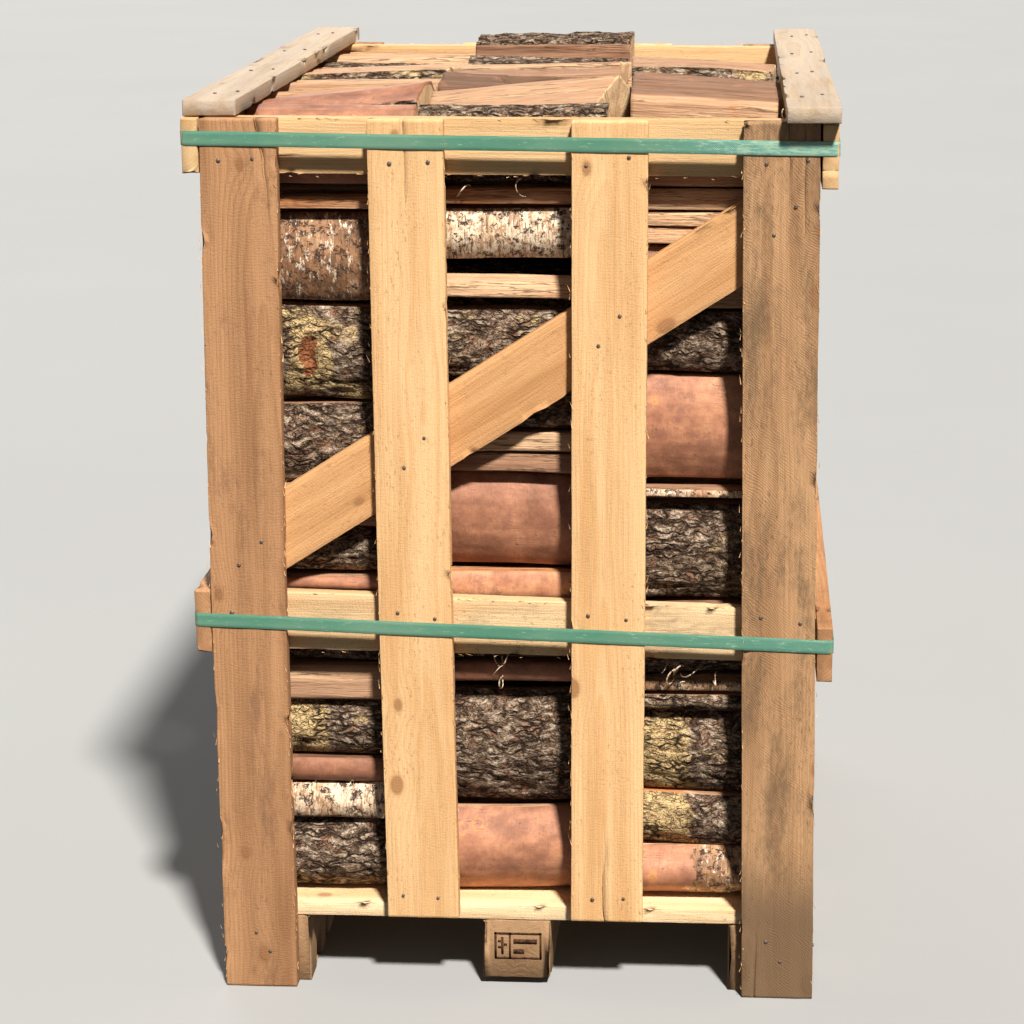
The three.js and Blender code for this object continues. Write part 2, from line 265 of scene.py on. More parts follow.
def sawn_board(node_name, axes, finish, slot, tone=0.5, wane=0.3, split=1, slope=0.0, pith=None):
    """One board. axes gives which of X, Y, Z run along, across and through it; slope turns the
    first two about the third, for a brace."""
    corners = np.array([v.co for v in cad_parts[node_name].data.vertices])
    local = corners[:, axes]
    turn = np.array([[math.cos(slope), math.sin(slope)], [-math.sin(slope), math.cos(slope)]])
    local[:, :2] = local[:, :2] @ turn.T
    marks, lows, highs = outline_along(local)
    width, thickness = np.ptp(local[:, 1]), np.ptp(local[:, 2])
    if not slope:
        width, thickness = (highs - lows)[0]
    cracks = [(pine_rng.uniform(0.12, 0.88), pine_rng.uniform(0.0003, 0.0007)) for _ in range(split)]
    ring, columns, sides = section_of(width, thickness, cracks)
    length = marks[-1] - marks[0]
    shares = np.linspace(0, 1, max(5, round(length / board_step)))[1:-1]
    lead = broken_edge / length
    shares = np.array([0, lead, 3 * lead, *shares[shares > 4 * lead], 1])
    shares = np.unique(np.concatenate([shares[shares < 1 - 4 * lead], [1 - 3 * lead, 1 - lead, 1]]))
    rows, around = len(shares), len(ring)
    across_share = np.repeat(ring[None, :, 0], rows, 0)
    through_share = np.repeat(ring[None, :, 1], rows, 0)
    for end in (0, rows - 1):
        across_share[end] = 0.5 + (across_share[end] - 0.5) * (1 - 2 * broken_edge / width)
        through_share[end] = 0.5 + (through_share[end] - 0.5) * (1 - 2 * broken_edge / thickness)
    if slope:
        low_v, high_v = local[:, 1].min(), local[:, 1].max()
        across = low_v + across_share * (high_v - low_v)
        starts, ends = chords(local, np.clip(across[0], low_v + 1e-5, high_v - 1e-5))
        along = starts + shares[:, None] * (ends - starts)
        through = local[:, 2].min() + through_share * thickness
    else:
        along = np.repeat(marks[0] + shares[:, None] * length, around, 1)
        low = np.stack([np.interp(along[:, 0], marks, lows[:, k]) for k in (0, 1)], -1)
        high = np.stack([np.interp(along[:, 0], marks, highs[:, k]) for k in (0, 1)], -1)
        across = low[:, :1] + across_share * (high - low)[:, :1]
        through = low[:, 1:] + through_share * (high - low)[:, 1:]
    seed = int(pine_rng.integers(1, 9999))
    place = np.stack([along, across, through], -1)
    hollow = 0.0009 * noise_at(place * (9, 60, 60), seed) + 0.0005 * noise_at(place * 160, seed + 1)
    is_corner = np.abs(ring[:, 2] * ring[:, 3]) > 0.1
    chip = np.clip(noise_at(place * (38, 25, 25), seed + 2) - (0.86 - 0.25 * wane), 0, 1) * 0.022
    near_edge = (np.minimum(ring[:, 0], 1 - ring[:, 0]) * width < 0.004) | is_corner
    hollow = hollow + np.where(near_edge, chip, 0)
    for place_u, opening in cracks:
        reach = pine_rng.uniform(0.04, 0.15)
        depth = pine_rng.uniform(0.002, 0.006)
        at_end = pine_rng.integers(0, 2)
        far = np.abs(along - (marks[-1] if at_end else marks[0]))
        fade = np.clip(1 - far / reach, 0, 1) * (0.6 + 0.8 * noise_at(place * 40, seed + 3))
        centre = np.abs(ring[:, 0] - place_u) * width < opening * 0.2
        hollow = hollow + np.where(centre, np.minimum(depth * fade * 2, 0.4 * thickness), 0)
        beside = np.exp(-(((ring[:, 0] - place_u) * width / 0.009) ** 2))
        across = across + beside * 0.009 * (fractal_at(place[:, :1] * (14, 0, 0), seed + 4) - 0.47)
    across = across - ring[:, 2] * hollow
    through = through - ring[:, 3] * hollow
    pith_v, pith_n = pith or (pine_rng.uniform(-0.3, 0.3) * width, -pine_rng.uniform(0.015, 0.07))
    grain_shift = pine_rng.uniform(0, 9)
    grain = [across - across.mean() - pith_v, through - through.mean() - pith_n, along + grain_shift]
    grain = np.stack(grain, -1)
    plane = np.stack([along, across], -1) @ turn
    points = np.zeros((rows, around, 3))
    points[..., axes[0]] = plane[..., 0]
    points[..., axes[1]] = plane[..., 1]
    points[..., axes[2]] = through
    faces = ring_faces(rows, around) + board_ends(rows, around, columns, sides)
    hand = np.linalg.det(np.eye(3)[list(axes)])
    if hand > 0:
        faces = [face[::-1] for face in faces]
    tones = np.full(rows * around, tone)
    flat = (points.reshape(-1, 3), faces, [finish], None, grain.reshape(-1, 3), tones)
    piece = wooden_piece(node_name + "_timber", *flat)
    on_crate(piece, slot, node_name)
    return piece


def calc(tree, operation, a, b=0.0, c=0.0, clamp=False):
    inputs = {0: a, 1: b, 2: c}
    return node(tree, "ShaderNodeMath", inputs, operation=operation, use_clamp=clamp).outputs[0]


def span(tree, value, low, high):
    """0 below low, 1 above high, smooth between. low may be the larger."""
    inputs = {"Value": value, "From Min": low, "From Max": high}
    return node(tree, "ShaderNodeMapRange", inputs, interpolation_type="SMOOTHSTEP").outputs[0]


def stretched(tree, vector, x, y, z):
    inputs = {0: vector, 1: (x, y, z)}
    return node(tree, "ShaderNodeVectorMath", inputs, operation="MULTIPLY").outputs[0]


def relief(tree, surface, height, distance):
    bump = node(tree, "ShaderNodeBump", {"Height": height, "Distance": distance})
    tree.links.new(bump.outputs[0], surface.inputs["Normal"])


def shaded(tree, colour, light):
    grey = node(tree, "ShaderNodeCombineColor", {0: light, 1: light, 2: light}).outputs[0]
    return blend(tree, 1.0, colour, grey, "MULTIPLY")


def place_values(tree):
    """The piece's own grain coordinates and its tone, which every wooden mesh carries."""
    grain = node(tree, "ShaderNodeAttribute", attribute_name="grain").outputs["Vector"]
    tone = node(tree, "ShaderNodeAttribute", attribute_name="tone").outputs["Fac"]
    return grain, tone


def pine(name, pale, warm, ring_width=0.0042, stain=(0.16, 0.10, 0.06), stained=0.0, grey=0.0,
         saw=0.25, saw_slant=0.0, knots=0.62, damp=0.0, pits=0.5):
    """Rough-sawn pine. stained is the share of dirty patches, grey the weathering, saw the depth
    of the saw marks and saw_slant their slope, damp darkens the foot."""
    material, tree, surface = shader(name, 0.78)
    grain, tone = place_values(tree)
    parts = node(tree, "ShaderNodeSeparateXYZ", {0: grain})
    across, through, along = parts.outputs
    flat = node(tree, "ShaderNodeCombineXYZ", {0: across, 1: through}).outputs[0]
    radius = node(tree, "ShaderNodeVectorMath", {0: flat}, operation="LENGTH").outputs["Value"]
    warp = cloud(tree, stretched(tree, grain, 9, 9, 2.2), 1.0, 2)
    knot_place = node(tree, "ShaderNodeCombineXYZ", {
        0: calc(tree, "MULTIPLY", across, 8.5), 1: calc(tree, "MULTIPLY", along, 5.2)}).outputs[0]
    cells = node(tree, "ShaderNodeTexVoronoi", {"Vector": knot_place, "Scale": 1.0, "Randomness": 0.85},
                 voronoi_dimensions="2D")
    chance = node(tree, "ShaderNodeSeparateColor", {0: cells.outputs["Color"]})
    chosen = span(tree, chance.outputs[0], knots, knots + 0.02)
    size = calc(tree, "MULTIPLY_ADD", chance.outputs[1], 0.055, 0.03)
    far = cells.outputs["Distance"]
    near = calc(tree, "SUBTRACT", 1.0, calc(tree, "MULTIPLY", far, 2.6), clamp=True)
    swell = calc(tree, "POWER", near, 2.0)
    swell = calc(tree, "MULTIPLY", calc(tree, "MULTIPLY", swell, chosen), 0.011)
    reach = calc(tree, "MULTIPLY_ADD", warp, 0.016, radius)
    reach = calc(tree, "ADD", reach, calc(tree, "MULTIPLY", along, 0.010))
    reach = calc(tree, "ADD", reach, swell)
    year = calc(tree, "FRACT", calc(tree, "DIVIDE", reach, ring_width))
    late = calc(tree, "MULTIPLY", span(tree, year, 0.35, 0.9), span(tree, year, 1.0, 0.93))
    strength = span(tree, cloud(tree, stretched(tree, grain, 20, 20, 1.5), 1.0, 2), 0.25, 0.75)
    late = calc(tree, "MULTIPLY", late, calc(tree, "MULTIPLY_ADD", strength, 0.55, 0.12))
    fibre = cloud(tree, stretched(tree, grain, 620, 620, 16), 1.0, 3, 0.7)
    broad = cloud(tree, stretched(tree, grain, 26, 26, 1.6), 1.0, 3)
    colour = blend(tree, late, pale, warm)
    colour = blend(tree, span(tree, broad, 0.35, 0.8), colour, tuple(0.86 * c for c in warm))
    speckle = span(tree, cloud(tree, stretched(tree, grain, 300, 300, 110), 1.0, 3, 0.7), 0.57, 0.68)
    patchy = span(tree, cloud(tree, stretched(tree, grain, 18, 18, 6), 1.0, 3), 0.35, 0.65)
    speckle = calc(tree, "MULTIPLY", speckle, patchy)
    colour = blend(tree, calc(tree, "MULTIPLY", speckle, pits), colour, tuple(0.55 * c for c in warm))
    light = calc(tree, "MULTIPLY_ADD", fibre, 0.5, 0.74)
    light = calc(tree, "ADD", light, calc(tree, "MULTIPLY", calc(tree, "SUBTRACT", tone, 0.5), 0.30))
    colour = shaded(tree, colour, light)
    knot = calc(tree, "MULTIPLY", span(tree, calc(tree, "SUBTRACT", far, size), 0.02, -0.012), chosen)
    knot_rings = calc(tree, "SINE", calc(tree, "MULTIPLY", far, 420.0))
    knot_colour = blend(tree, span(tree, knot_rings, -0.6, 0.9), (0.30, 0.125, 0.05), (0.42, 0.20, 0.085))
    colour = blend(tree, calc(tree, "MULTIPLY", knot, 0.88), colour, knot_colour)
    halo = calc(tree, "MULTIPLY", span(tree, calc(tree, "SUBTRACT", far, size), 0.05, 0.0), chosen)
    colour = blend(tree, calc(tree, "MULTIPLY", halo, 0.35), colour, tuple(0.62 * c for c in warm))
    drift = cloud(tree, stretched(tree, grain, 22, 22, 5), 1.0, 5, 0.65)
    grit = cloud(tree, stretched(tree, grain, 170, 170, 60), 1.0, 4, 0.75)
    grime = calc(tree, "ADD", calc(tree, "MULTIPLY", drift, 0.68), calc(tree, "MULTIPLY", grit, 0.32))
    patch = span(tree, grime, 0.64 - 0.26 * stained, 0.74 - 0.12 * stained)
    patch = calc(tree, "MULTIPLY", patch, min(0.25 + stained, 0.8))
    if damp:
        height = node(tree, "ShaderNodeSeparateXYZ", {
            0: node(tree, "ShaderNodeTexCoord").outputs["Object"]}).outputs[2]
        edge = calc(tree, "ADD", height, calc(tree, "MULTIPLY", drift, 0.10))
        foot = calc(tree, "MULTIPLY", span(tree, edge, 0.30, 0.17), damp)
        patch = calc(tree, "MAXIMUM", patch, foot)
    colour = blend(tree, patch, colour, stain)
    if grey:
        silver = span(tree, cloud(tree, stretched(tree, grain, 60, 60, 6), 1.0, 4, 0.7), 0.3, 0.7)
        colour = blend(tree, calc(tree, "MULTIPLY", silver, grey), colour, (0.42, 0.36, 0.30))
        black = span(tree, cloud(tree, stretched(tree, grain, 90, 90, 40), 1.0, 4, 0.7), 0.62, 0.72)
        colour = blend(tree, calc(tree, "MULTIPLY", black, grey), colour, (0.20, 0.15, 0.11))
    tree.links.new(colour, surface.inputs["Base Color"])
    run = calc(tree, "MULTIPLY_ADD", across, saw_slant, along)
    wobble = cloud(tree, stretched(tree, grain, 30, 30, 30), 1.0, 2)
    phase = calc(tree, "ADD", calc(tree, "MULTIPLY", run, 1500.0), calc(tree, "MULTIPLY", wobble, 40.0))
    teeth = calc(tree, "MULTIPLY", calc(tree, "SINE", phase), calc(tree, "MULTIPLY", broad, saw))
    fuzz = cloud(tree, stretched(tree, grain, 900, 900, 260), 1.0, 2, 0.8)
    height = calc(tree, "ADD", calc(tree, "MULTIPLY", fibre, 0.9), calc(tree, "MULTIPLY", teeth, 0.5))
    height = calc(tree, "ADD", height, calc(tree, "MULTIPLY", fuzz, 0.7))
    height = calc(tree, "SUBTRACT", height, calc(tree, "MULTIPLY", knot, 0.4))
    relief(tree, surface, height, 0.0009)
    return material


fresh_pine = pine("fresh_pine", (0.80, 0.51, 0.255), (0.70, 0.37, 0.145), saw=0.12, stained=0.12,
                  stain=(0.44, 0.25, 0.115), pits=0.75)
rail_pine = pine("rail_pine", (0.70, 0.47, 0.24), (0.58, 0.31, 0.125), stained=0.28, saw=0.15,
                 stain=(0.28, 0.18, 0.10))
worn_pine = pine("worn_pine", (0.74, 0.54, 0.31), (0.62, 0.37, 0.17), stained=0.62, saw=0.25,
                 stain=(0.36, 0.25, 0.15), pits=1.0)
deck_pine = pine("deck_pine", (0.84, 0.62, 0.37), (0.74, 0.48, 0.24), saw=0.3, stained=0.1, pits=0.9,
                 stain=(0.40, 0.26, 0.14))
brace_pine = pine("brace_pine", (0.68, 0.375, 0.165), (0.57, 0.275, 0.105), saw=0.1, knots=0.75)
rusty_pine = pine("rusty_pine", (0.48, 0.25, 0.118), (0.31, 0.145, 0.062), stained=0.50,
                  stain=(0.22, 0.11, 0.055), saw=0.2, knots=0.30)
dirty_pine = pine("dirty_pine", (0.50, 0.285, 0.14), (0.35, 0.18, 0.082), stained=0.80,
                  stain=(0.14, 0.085, 0.045), saw=0.45, saw_slant=0.9, damp=0.85, pits=0.95)
grey_pine = pine("grey_pine", (0.52, 0.39, 0.26), (0.40, 0.275, 0.17), stained=0.42, grey=0.72, saw=0.5,
                 stain=(0.24, 0.17, 0.11))
bearer_pine = pine("bearer_pine", (0.55, 0.32, 0.15), (0.38, 0.19, 0.08), stained=0.3, saw=0.6, damp=0.5)

X, Y, Z = 0, 1, 2


# Pallet: three bearers on edge, front to back, and five deck boards nailed across them. The
# middle bearer is sawn from the outside of the trunk and hangs clear of the ground.
for number in range(1, 6):
    sawn_board(f"deck_board_{number}", (X, Y, Z), deck_pine if number == 1 else rail_pine,
               "fresh_pine", tone=0.6 if number == 1 else 0.4, wane=0.1, split=0)
for bearer in ("bearer_left", "bearer_centre", "bearer_right"):
    sawn_board(bearer, (Y, X, Z), bearer_pine, "bearer_pine", wane=0.9, tone=0.55)


# Front and back panels: two corner posts and two slats outside, two rails and a slanted brace
# inside, nailed where they cross. The front's left post is rusty brown, its right one dirty.
brace_slope = math.atan(0.6475)
for panel, turned in (("front", 1), ("back", -1)):
    sawn_board(f"{panel}_post_left", (Z, X, Y), rusty_pine, "aged_pine", wane=0.7, split=4)
    sawn_board(f"{panel}_post_right", (Z, X, Y), dirty_pine, "aged_pine", wane=0.6, split=3)
    sawn_board(f"{panel}_slat_left", (Z, X, Y), fresh_pine, "fresh_pine", tone=0.44)
    sawn_board(f"{panel}_slat_right", (Z, X, Y), fresh_pine, "fresh_pine", tone=0.52)
    sawn_board(f"{panel}_top_rail", (X, Z, Y), rail_pine, "fresh_pine", tone=0.5)
    sawn_board(f"{panel}_middle_rail", (X, Z, Y), worn_pine, "fresh_pine", tone=0.62, wane=0.3)
    sawn_board(f"{panel}_brace", (X, Z, Y), brace_pine, "fresh_pine", slope=turned * brace_slope)


# Side panels: outer rails front to back and four upright slats inside them, nailed to the outer
# bearers. Cap boards of weathered pine lie along the top of both sides.
for side in ("left", "right"):
    sawn_board(f"{side}_side_top_rail", (Y, Z, X), rail_pine, "fresh_pine", wane=0.5)
    sawn_board(f"{side}_side_middle_rail", (Y, Z, X), rusty_pine, "fresh_pine", wane=0.9, tone=0.75)
    for number in range(1, 5):
        sawn_board(f"{side}_side_slat_{number}", (Z, Y, X), fresh_pine, "fresh_pine",
                   tone=pine_rng.uniform(0.35, 0.6))
    sawn_board(f"cap_{side}", (Y, X, Z), grey_pine, "grey_pine", wane=0.6, tone=0.5, split=0)


# Birch bark, bast and riven faces: the logs are birch, sawn to 250 mm and split with a wedge.
# Old bark is furrowed and grey with lichen, young bark white and papery, the bast terracotta.
def banded(tree, value, *stops):
    """A colour ramp: each stop is a place from 0 to 1 and a colour."""
    ramp = node(tree, "ShaderNodeValToRGB", {0: value})
    marks = ramp.color_ramp.elements
    while len(marks) < len(stops):
        marks.new(0.5)
    for mark, (place, colour) in zip(marks, stops):
        mark.position = place
        mark.color = (*colour, 1)
    return ramp.outputs[0]


def spread(tree, value, amount):
    """A light level about 1, from a noise about a half."""
    return calc(tree, "MULTIPLY_ADD", value, 2 * amount, 1 - amount)


def riven_birch():
    material, tree, surface = shader("riven_birch", 0.72)
    grain, tone = place_values(tree)
    fibre = cloud(tree, stretched(tree, grain, 22, 620, 620), 1.0, 4, 0.7)
    streak = cloud(tree, stretched(tree, grain, 5, 70, 70), 1.0, 4, 0.65)
    level = calc(tree, "ADD", tone, calc(tree, "MULTIPLY", calc(tree, "SUBTRACT", streak, 0.5), 0.75))
    colour = banded(tree, level, (0.0, (0.13, 0.070, 0.04)), (0.25, (0.30, 0.155, 0.088)),
                    (0.5, (0.45, 0.255, 0.145)), (0.72, (0.64, 0.41, 0.235)), (1.0, (0.50, 0.20, 0.075)))
    colour = shaded(tree, colour, spread(tree, fibre, 0.42))
    rift = cloud(tree, stretched(tree, grain, 9, 210, 210), 1.0, 3, 0.6)
    crack = span(tree, calc(tree, "ABSOLUTE", calc(tree, "SUBTRACT", rift, 0.5)), 0.028, 0.004)
    crack = calc(tree, "MULTIPLY", crack, span(tree, streak, 0.45, 0.6))
    colour = blend(tree, calc(tree, "MULTIPLY", crack, 0.65), colour, (0.12, 0.055, 0.03))
    rusty = span(tree, cloud(tree, stretched(tree, grain, 30, 45, 45), 1.0, 3), 0.62, 0.72)
    colour = blend(tree, calc(tree, "MULTIPLY", rusty, 0.5), colour, (0.50, 0.20, 0.07))
    tree.links.new(colour, surface.inputs["Base Color"])
    height = calc(tree, "SUBTRACT", calc(tree, "ADD", fibre, calc(tree, "MULTIPLY", streak, 1.5)), crack)
    relief(tree, surface, height, 0.0016)
    return material


def sawn_end():
    material, tree, surface = shader("sawn_end", 0.8)
    grain, tone = place_values(tree)
    parts = node(tree, "ShaderNodeSeparateXYZ", {0: grain})
    flat = node(tree, "ShaderNodeCombineXYZ", {0: parts.outputs[1], 1: parts.outputs[2]}).outputs[0]
    radius = node(tree, "ShaderNodeVectorMath", {0: flat}, operation="LENGTH").outputs["Value"]
    away = node(tree, "ShaderNodeVectorMath", {0: flat}, operation="NORMALIZE").outputs[0]
    drift = cloud(tree, stretched(tree, grain, 20, 45, 45), 1.0, 4)
    reach = calc(tree, "ADD", radius, calc(tree, "MULTIPLY", drift, 0.004))
    year = calc(tree, "FRACT", calc(tree, "DIVIDE", reach, 0.0026))
    late = calc(tree, "MULTIPLY", span(tree, year, 0.5, 0.92), 0.35)
    heart = span(tree, calc(tree, "ADD", radius, calc(tree, "MULTIPLY", drift, 0.02)), 0.042, 0.02)
    colour = blend(tree, heart, (0.74, 0.52, 0.30), (0.56, 0.30, 0.13))
    colour = blend(tree, late, colour, (0.48, 0.28, 0.13))
    stain = span(tree, calc(tree, "ADD", drift, calc(tree, "MULTIPLY", tone, 0.3)), 0.55, 0.80)
    colour = blend(tree, calc(tree, "MULTIPLY", stain, 0.6), colour, (0.34, 0.22, 0.13))
    ray = cloud(tree, stretched(tree, away, 55, 55, 55), 1.0, 2)
    colour = shaded(tree, colour, spread(tree, ray, 0.14))
    colour = shaded(tree, colour, spread(tree, tone, 0.20))
    check = cloud(tree, stretched(tree, away, 5.5, 5.5, 5.5), 1.0, 2)
    split = span(tree, calc(tree, "ABSOLUTE", calc(tree, "SUBTRACT", check, 0.5)), 0.016, 0.004)
    split = calc(tree, "MULTIPLY", split, span(tree, drift, 0.60, 0.48))
    colour = blend(tree, calc(tree, "MULTIPLY", split, 0.65), colour, (0.07, 0.035, 0.02))
    tree.links.new(colour, surface.inputs["Base Color"])
    teeth = cloud(tree, stretched(tree, grain, 1, 60, 900), 1.0, 2)
    height = calc(tree, "SUBTRACT", teeth, calc(tree, "MULTIPLY", split, 2.5))
    relief(tree, surface, height, 0.0008)
    return material


def furrowed_bark():
    material, tree, surface = shader("furrowed_bark", 0.92, 0.12)
    grain, tone = place_values(tree)
    warp = node(tree, "ShaderNodeTexNoise", {"Vector": grain, "Scale": 38.0, "Detail": 3.0})
    bent = node(tree, "ShaderNodeVectorMath", {0: warp.outputs["Color"], 1: (0.026, 0.026, 0.026),
                2: grain}, operation="MULTIPLY_ADD").outputs[0]
    edge = node(tree, "ShaderNodeTexVoronoi", {"Vector": stretched(tree, bent, 30, 95, 95), "Scale": 1.0},
                feature="DISTANCE_TO_EDGE").outputs["Distance"]
    chip = node(tree, "ShaderNodeTexVoronoi", {"Vector": stretched(tree, bent, 115, 270, 270),
                "Scale": 1.0}, feature="DISTANCE_TO_EDGE").outputs["Distance"]
    fine = cloud(tree, stretched(tree, grain, 300, 520, 520), 1.0, 3, 0.7)
    mottle = cloud(tree, stretched(tree, bent, 60, 120, 120), 1.0, 5, 0.75)
    open_part = span(tree, cloud(tree, stretched(tree, grain, 24, 40, 40), 1.0, 3), 0.36, 0.58)
    furrow = calc(tree, "MULTIPLY", span(tree, edge, 0.20, 0.0), open_part)
    crackle = calc(tree, "MULTIPLY", span(tree, chip, 0.13, 0.0), span(tree, mottle, 0.62, 0.40))
    colour = banded(tree, mottle, (0.32, (0.065, 0.038, 0.026)), (0.46, (0.17, 0.105, 0.066)),
                    (0.56, (0.29, 0.205, 0.140)), (0.70, (0.50, 0.40, 0.30)))
    pale = span(tree, calc(tree, "MULTIPLY", fine, mottle), 0.27, 0.36)
    colour = blend(tree, calc(tree, "MULTIPLY", pale, 0.65), colour, (0.66, 0.53, 0.40))
    field = cloud(tree, stretched(tree, grain, 15, 22, 22), 1.0, 3, 0.6)
    rich = calc(tree, "ADD", field, calc(tree, "MULTIPLY", calc(tree, "SUBTRACT", tone, 0.5), 0.50))
    lichen = calc(tree, "MULTIPLY", span(tree, rich, 0.52, 0.64), span(tree, fine, 0.32, 0.52))
    colour = blend(tree, calc(tree, "MULTIPLY", lichen, 0.9), colour, (0.68, 0.48, 0.22))
    red = span(tree, cloud(tree, stretched(tree, grain, 34, 50, 50), 1.3, 2), 0.58, 0.67)
    colour = blend(tree, calc(tree, "MULTIPLY", red, 0.5), colour, (0.27, 0.10, 0.05))
    bare = span(tree, calc(tree, "ADD", tone, calc(tree, "MULTIPLY", mottle, 0.8)), 1.75, 2.0)
    colour = blend(tree, bare, colour, blend(tree, fine, (0.10, 0.030, 0.014), (0.56, 0.22, 0.09)))
    # The furrows and fine cracks are painted near-black: partly the bark's own dark crust, partly painted
    # shade in its creases.
    dark = calc(tree, "MAXIMUM", furrow, calc(tree, "MULTIPLY", crackle, 0.75))
    dark = calc(tree, "MULTIPLY", dark, calc(tree, "SUBTRACT", 1.0, calc(tree, "MULTIPLY", bare, 0.6)))
    colour = blend(tree, dark, colour, (0.030, 0.016, 0.010))
    tree.links.new(colour, surface.inputs["Base Color"])
    height = calc(tree, "SUBTRACT", calc(tree, "MULTIPLY", mottle, 0.9), furrow)
    height = calc(tree, "SUBTRACT", height, calc(tree, "MULTIPLY", crackle, 0.7))
    height = calc(tree, "ADD", height, calc(tree, "MULTIPLY", fine, 0.35))
    relief(tree, surface, height, 0.0042)
    return material


def paper_bark():
    material, tree, surface = shader("paper_bark", 0.62, 0.35)
    grain, tone = place_values(tree)
    field = cloud(tree, stretched(tree, grain, 26, 20, 20), 1.0, 4, 0.65)
    age = calc(tree, "ADD", field, calc(tree, "MULTIPLY", calc(tree, "SUBTRACT", tone, 0.5), 0.55))
    colour = banded(tree, age, (0.32, (0.80, 0.64, 0.45)), (0.48, (0.56, 0.36, 0.21)),
                    (0.62, (0.30, 0.155, 0.075)), (0.80, (0.15, 0.072, 0.032)))
    dash = cloud(tree, stretched(tree, grain, 330, 42, 42), 1.0, 2, 0.6)
    fleck = cloud(tree, stretched(tree, grain, 120, 75, 75), 1.0, 4, 0.75)
    torn = span(tree, fleck, 0.50, 0.55)
    colour = blend(tree, calc(tree, "MULTIPLY", torn, 0.75), colour, (0.36, 0.175, 0.082))
    colour = blend(tree, calc(tree, "MULTIPLY", span(tree, dash, 0.56, 0.64), 0.8), colour,
                   (0.15, 0.075, 0.045))
    scar = span(tree, cloud(tree, stretched(tree, grain, 75, 90, 90), 1.0, 5, 0.8), 0.54, 0.59)
    colour = blend(tree, scar, colour, (0.060, 0.030, 0.020))
    bright = span(tree, cloud(tree, stretched(tree, grain, 150, 60, 60), 1.0, 4, 0.75), 0.56, 0.63)
    colour = blend(tree, calc(tree, "MULTIPLY", bright, 0.8), colour, (0.84, 0.72, 0.56))
    tree.links.new(colour, surface.inputs["Base Color"])
    height = calc(tree, "SUBTRACT", calc(tree, "MULTIPLY", fleck, 0.8), calc(tree, "MULTIPLY", scar, 0.8))
    height = calc(tree, "SUBTRACT", height, calc(tree, "MULTIPLY", dash, 0.5))
    relief(tree, surface, height, 0.0022)
    return material


def bast():
    material, tree, surface = shader("bast", 0.6, 0.32)
    grain, tone = place_values(tree)
    field = cloud(tree, stretched(tree, grain, 22, 30, 30), 1.0, 5, 0.65)
    level = calc(tree, "ADD", field, calc(tree, "MULTIPLY", calc(tree, "SUBTRACT", tone, 0.5), 0.35))
    colour = banded(tree, level, (0.28, (0.20, 0.080, 0.042)), (0.46, (0.33, 0.142, 0.078)),
                    (0.60, (0.46, 0.205, 0.110)), (0.75, (0.60, 0.30, 0.16)))
    hair = cloud(tree, stretched(tree, grain, 420, 55, 55), 1.0, 3, 0.7)
    colour = shaded(tree, colour, spread(tree, hair, 0.16))
    sway = node(tree, "ShaderNodeTexNoise", {"Vector": grain, "Scale": 150.0, "Detail": 2.0})
    swayed = node(tree, "ShaderNodeVectorMath", {0: sway.outputs["Color"], 1: (0.010, 0.010, 0.010),
                  2: grain}, operation="MULTIPLY_ADD").outputs[0]
    dots = node(tree, "ShaderNodeTexVoronoi", {"Vector": stretched(tree, swayed, 42, 30, 30),
                "Scale": 1.0})
    pick = node(tree, "ShaderNodeSeparateColor", {0: dots.outputs["Color"]}).outputs[0]
    rim = calc(tree, "ABSOLUTE", calc(tree, "SUBTRACT", dots.outputs["Distance"], 0.26))
    many = calc(tree, "SUBTRACT", 1.14, calc(tree, "MULTIPLY", tone, 0.62))
    rim = calc(tree, "MULTIPLY", span(tree, rim, 0.11, 0.01), calc(tree, "GREATER_THAN", pick, many))
    rim = calc(tree, "MULTIPLY", rim, span(tree, field, 0.38, 0.58))
    colour = blend(tree, calc(tree, "MULTIPLY", rim, 0.7), colour, (0.66, 0.28, 0.085))
    seam = cloud(tree, stretched(tree, grain, 7, 85, 85), 1.0, 3, 0.6)
    seam = span(tree, calc(tree, "ABSOLUTE", calc(tree, "SUBTRACT", seam, 0.5)), 0.010, 0.002)
    seam = calc(tree, "MULTIPLY", seam, span(tree, field, 0.52, 0.66))
    colour = blend(tree, calc(tree, "MULTIPLY", seam, 0.5), colour, (0.20, 0.075, 0.04))
    bruise = span(tree, cloud(tree, stretched(tree, grain, 40, 34, 34), 1.0, 5, 0.7), 0.52, 0.64)
    colour = blend(tree, calc(tree, "MULTIPLY", bruise, 0.5), colour, (0.25, 0.105, 0.070))
    crumb = span(tree, cloud(tree, stretched(tree, grain, 150, 170, 170), 1.0, 4, 0.8), 0.61, 0.66)
    colour = blend(tree, calc(tree, "MULTIPLY", crumb, 0.65), colour, (0.11, 0.055, 0.035))
    tree.links.new(colour, surface.inputs["Base Color"])
    height = calc(tree, "ADD", calc(tree, "MULTIPLY", hair, 0.35), calc(tree, "MULTIPLY", field, 1.2))
    height = calc(tree, "SUBTRACT", height, calc(tree, "MULTIPLY", seam, 0.5))
    relief(tree, surface, height, 0.0010)
    return material


log_finishes = [riven_birch(), sawn_end(), furrowed_bark(), paper_bark(), bast()]
RIVEN, END, DARK, WHITE, BAST = range(5)
log_rng = np.random.default_rng(23)


def clipped(cell, normal, limit):
    """What is left of a convex cell on the near side of a line."""
    side = cell @ normal - limit
    kept = []
    for a, b, from_a, from_b in zip(cell, np.roll(cell, -1, 0), side, np.roll(side, -1)):
        if from_a <= 0:
            kept.append(a)
        if from_a * from_b < 0:
            kept.append(a + (b - a) * from_a / (from_a - from_b))
    return np.array(kept)


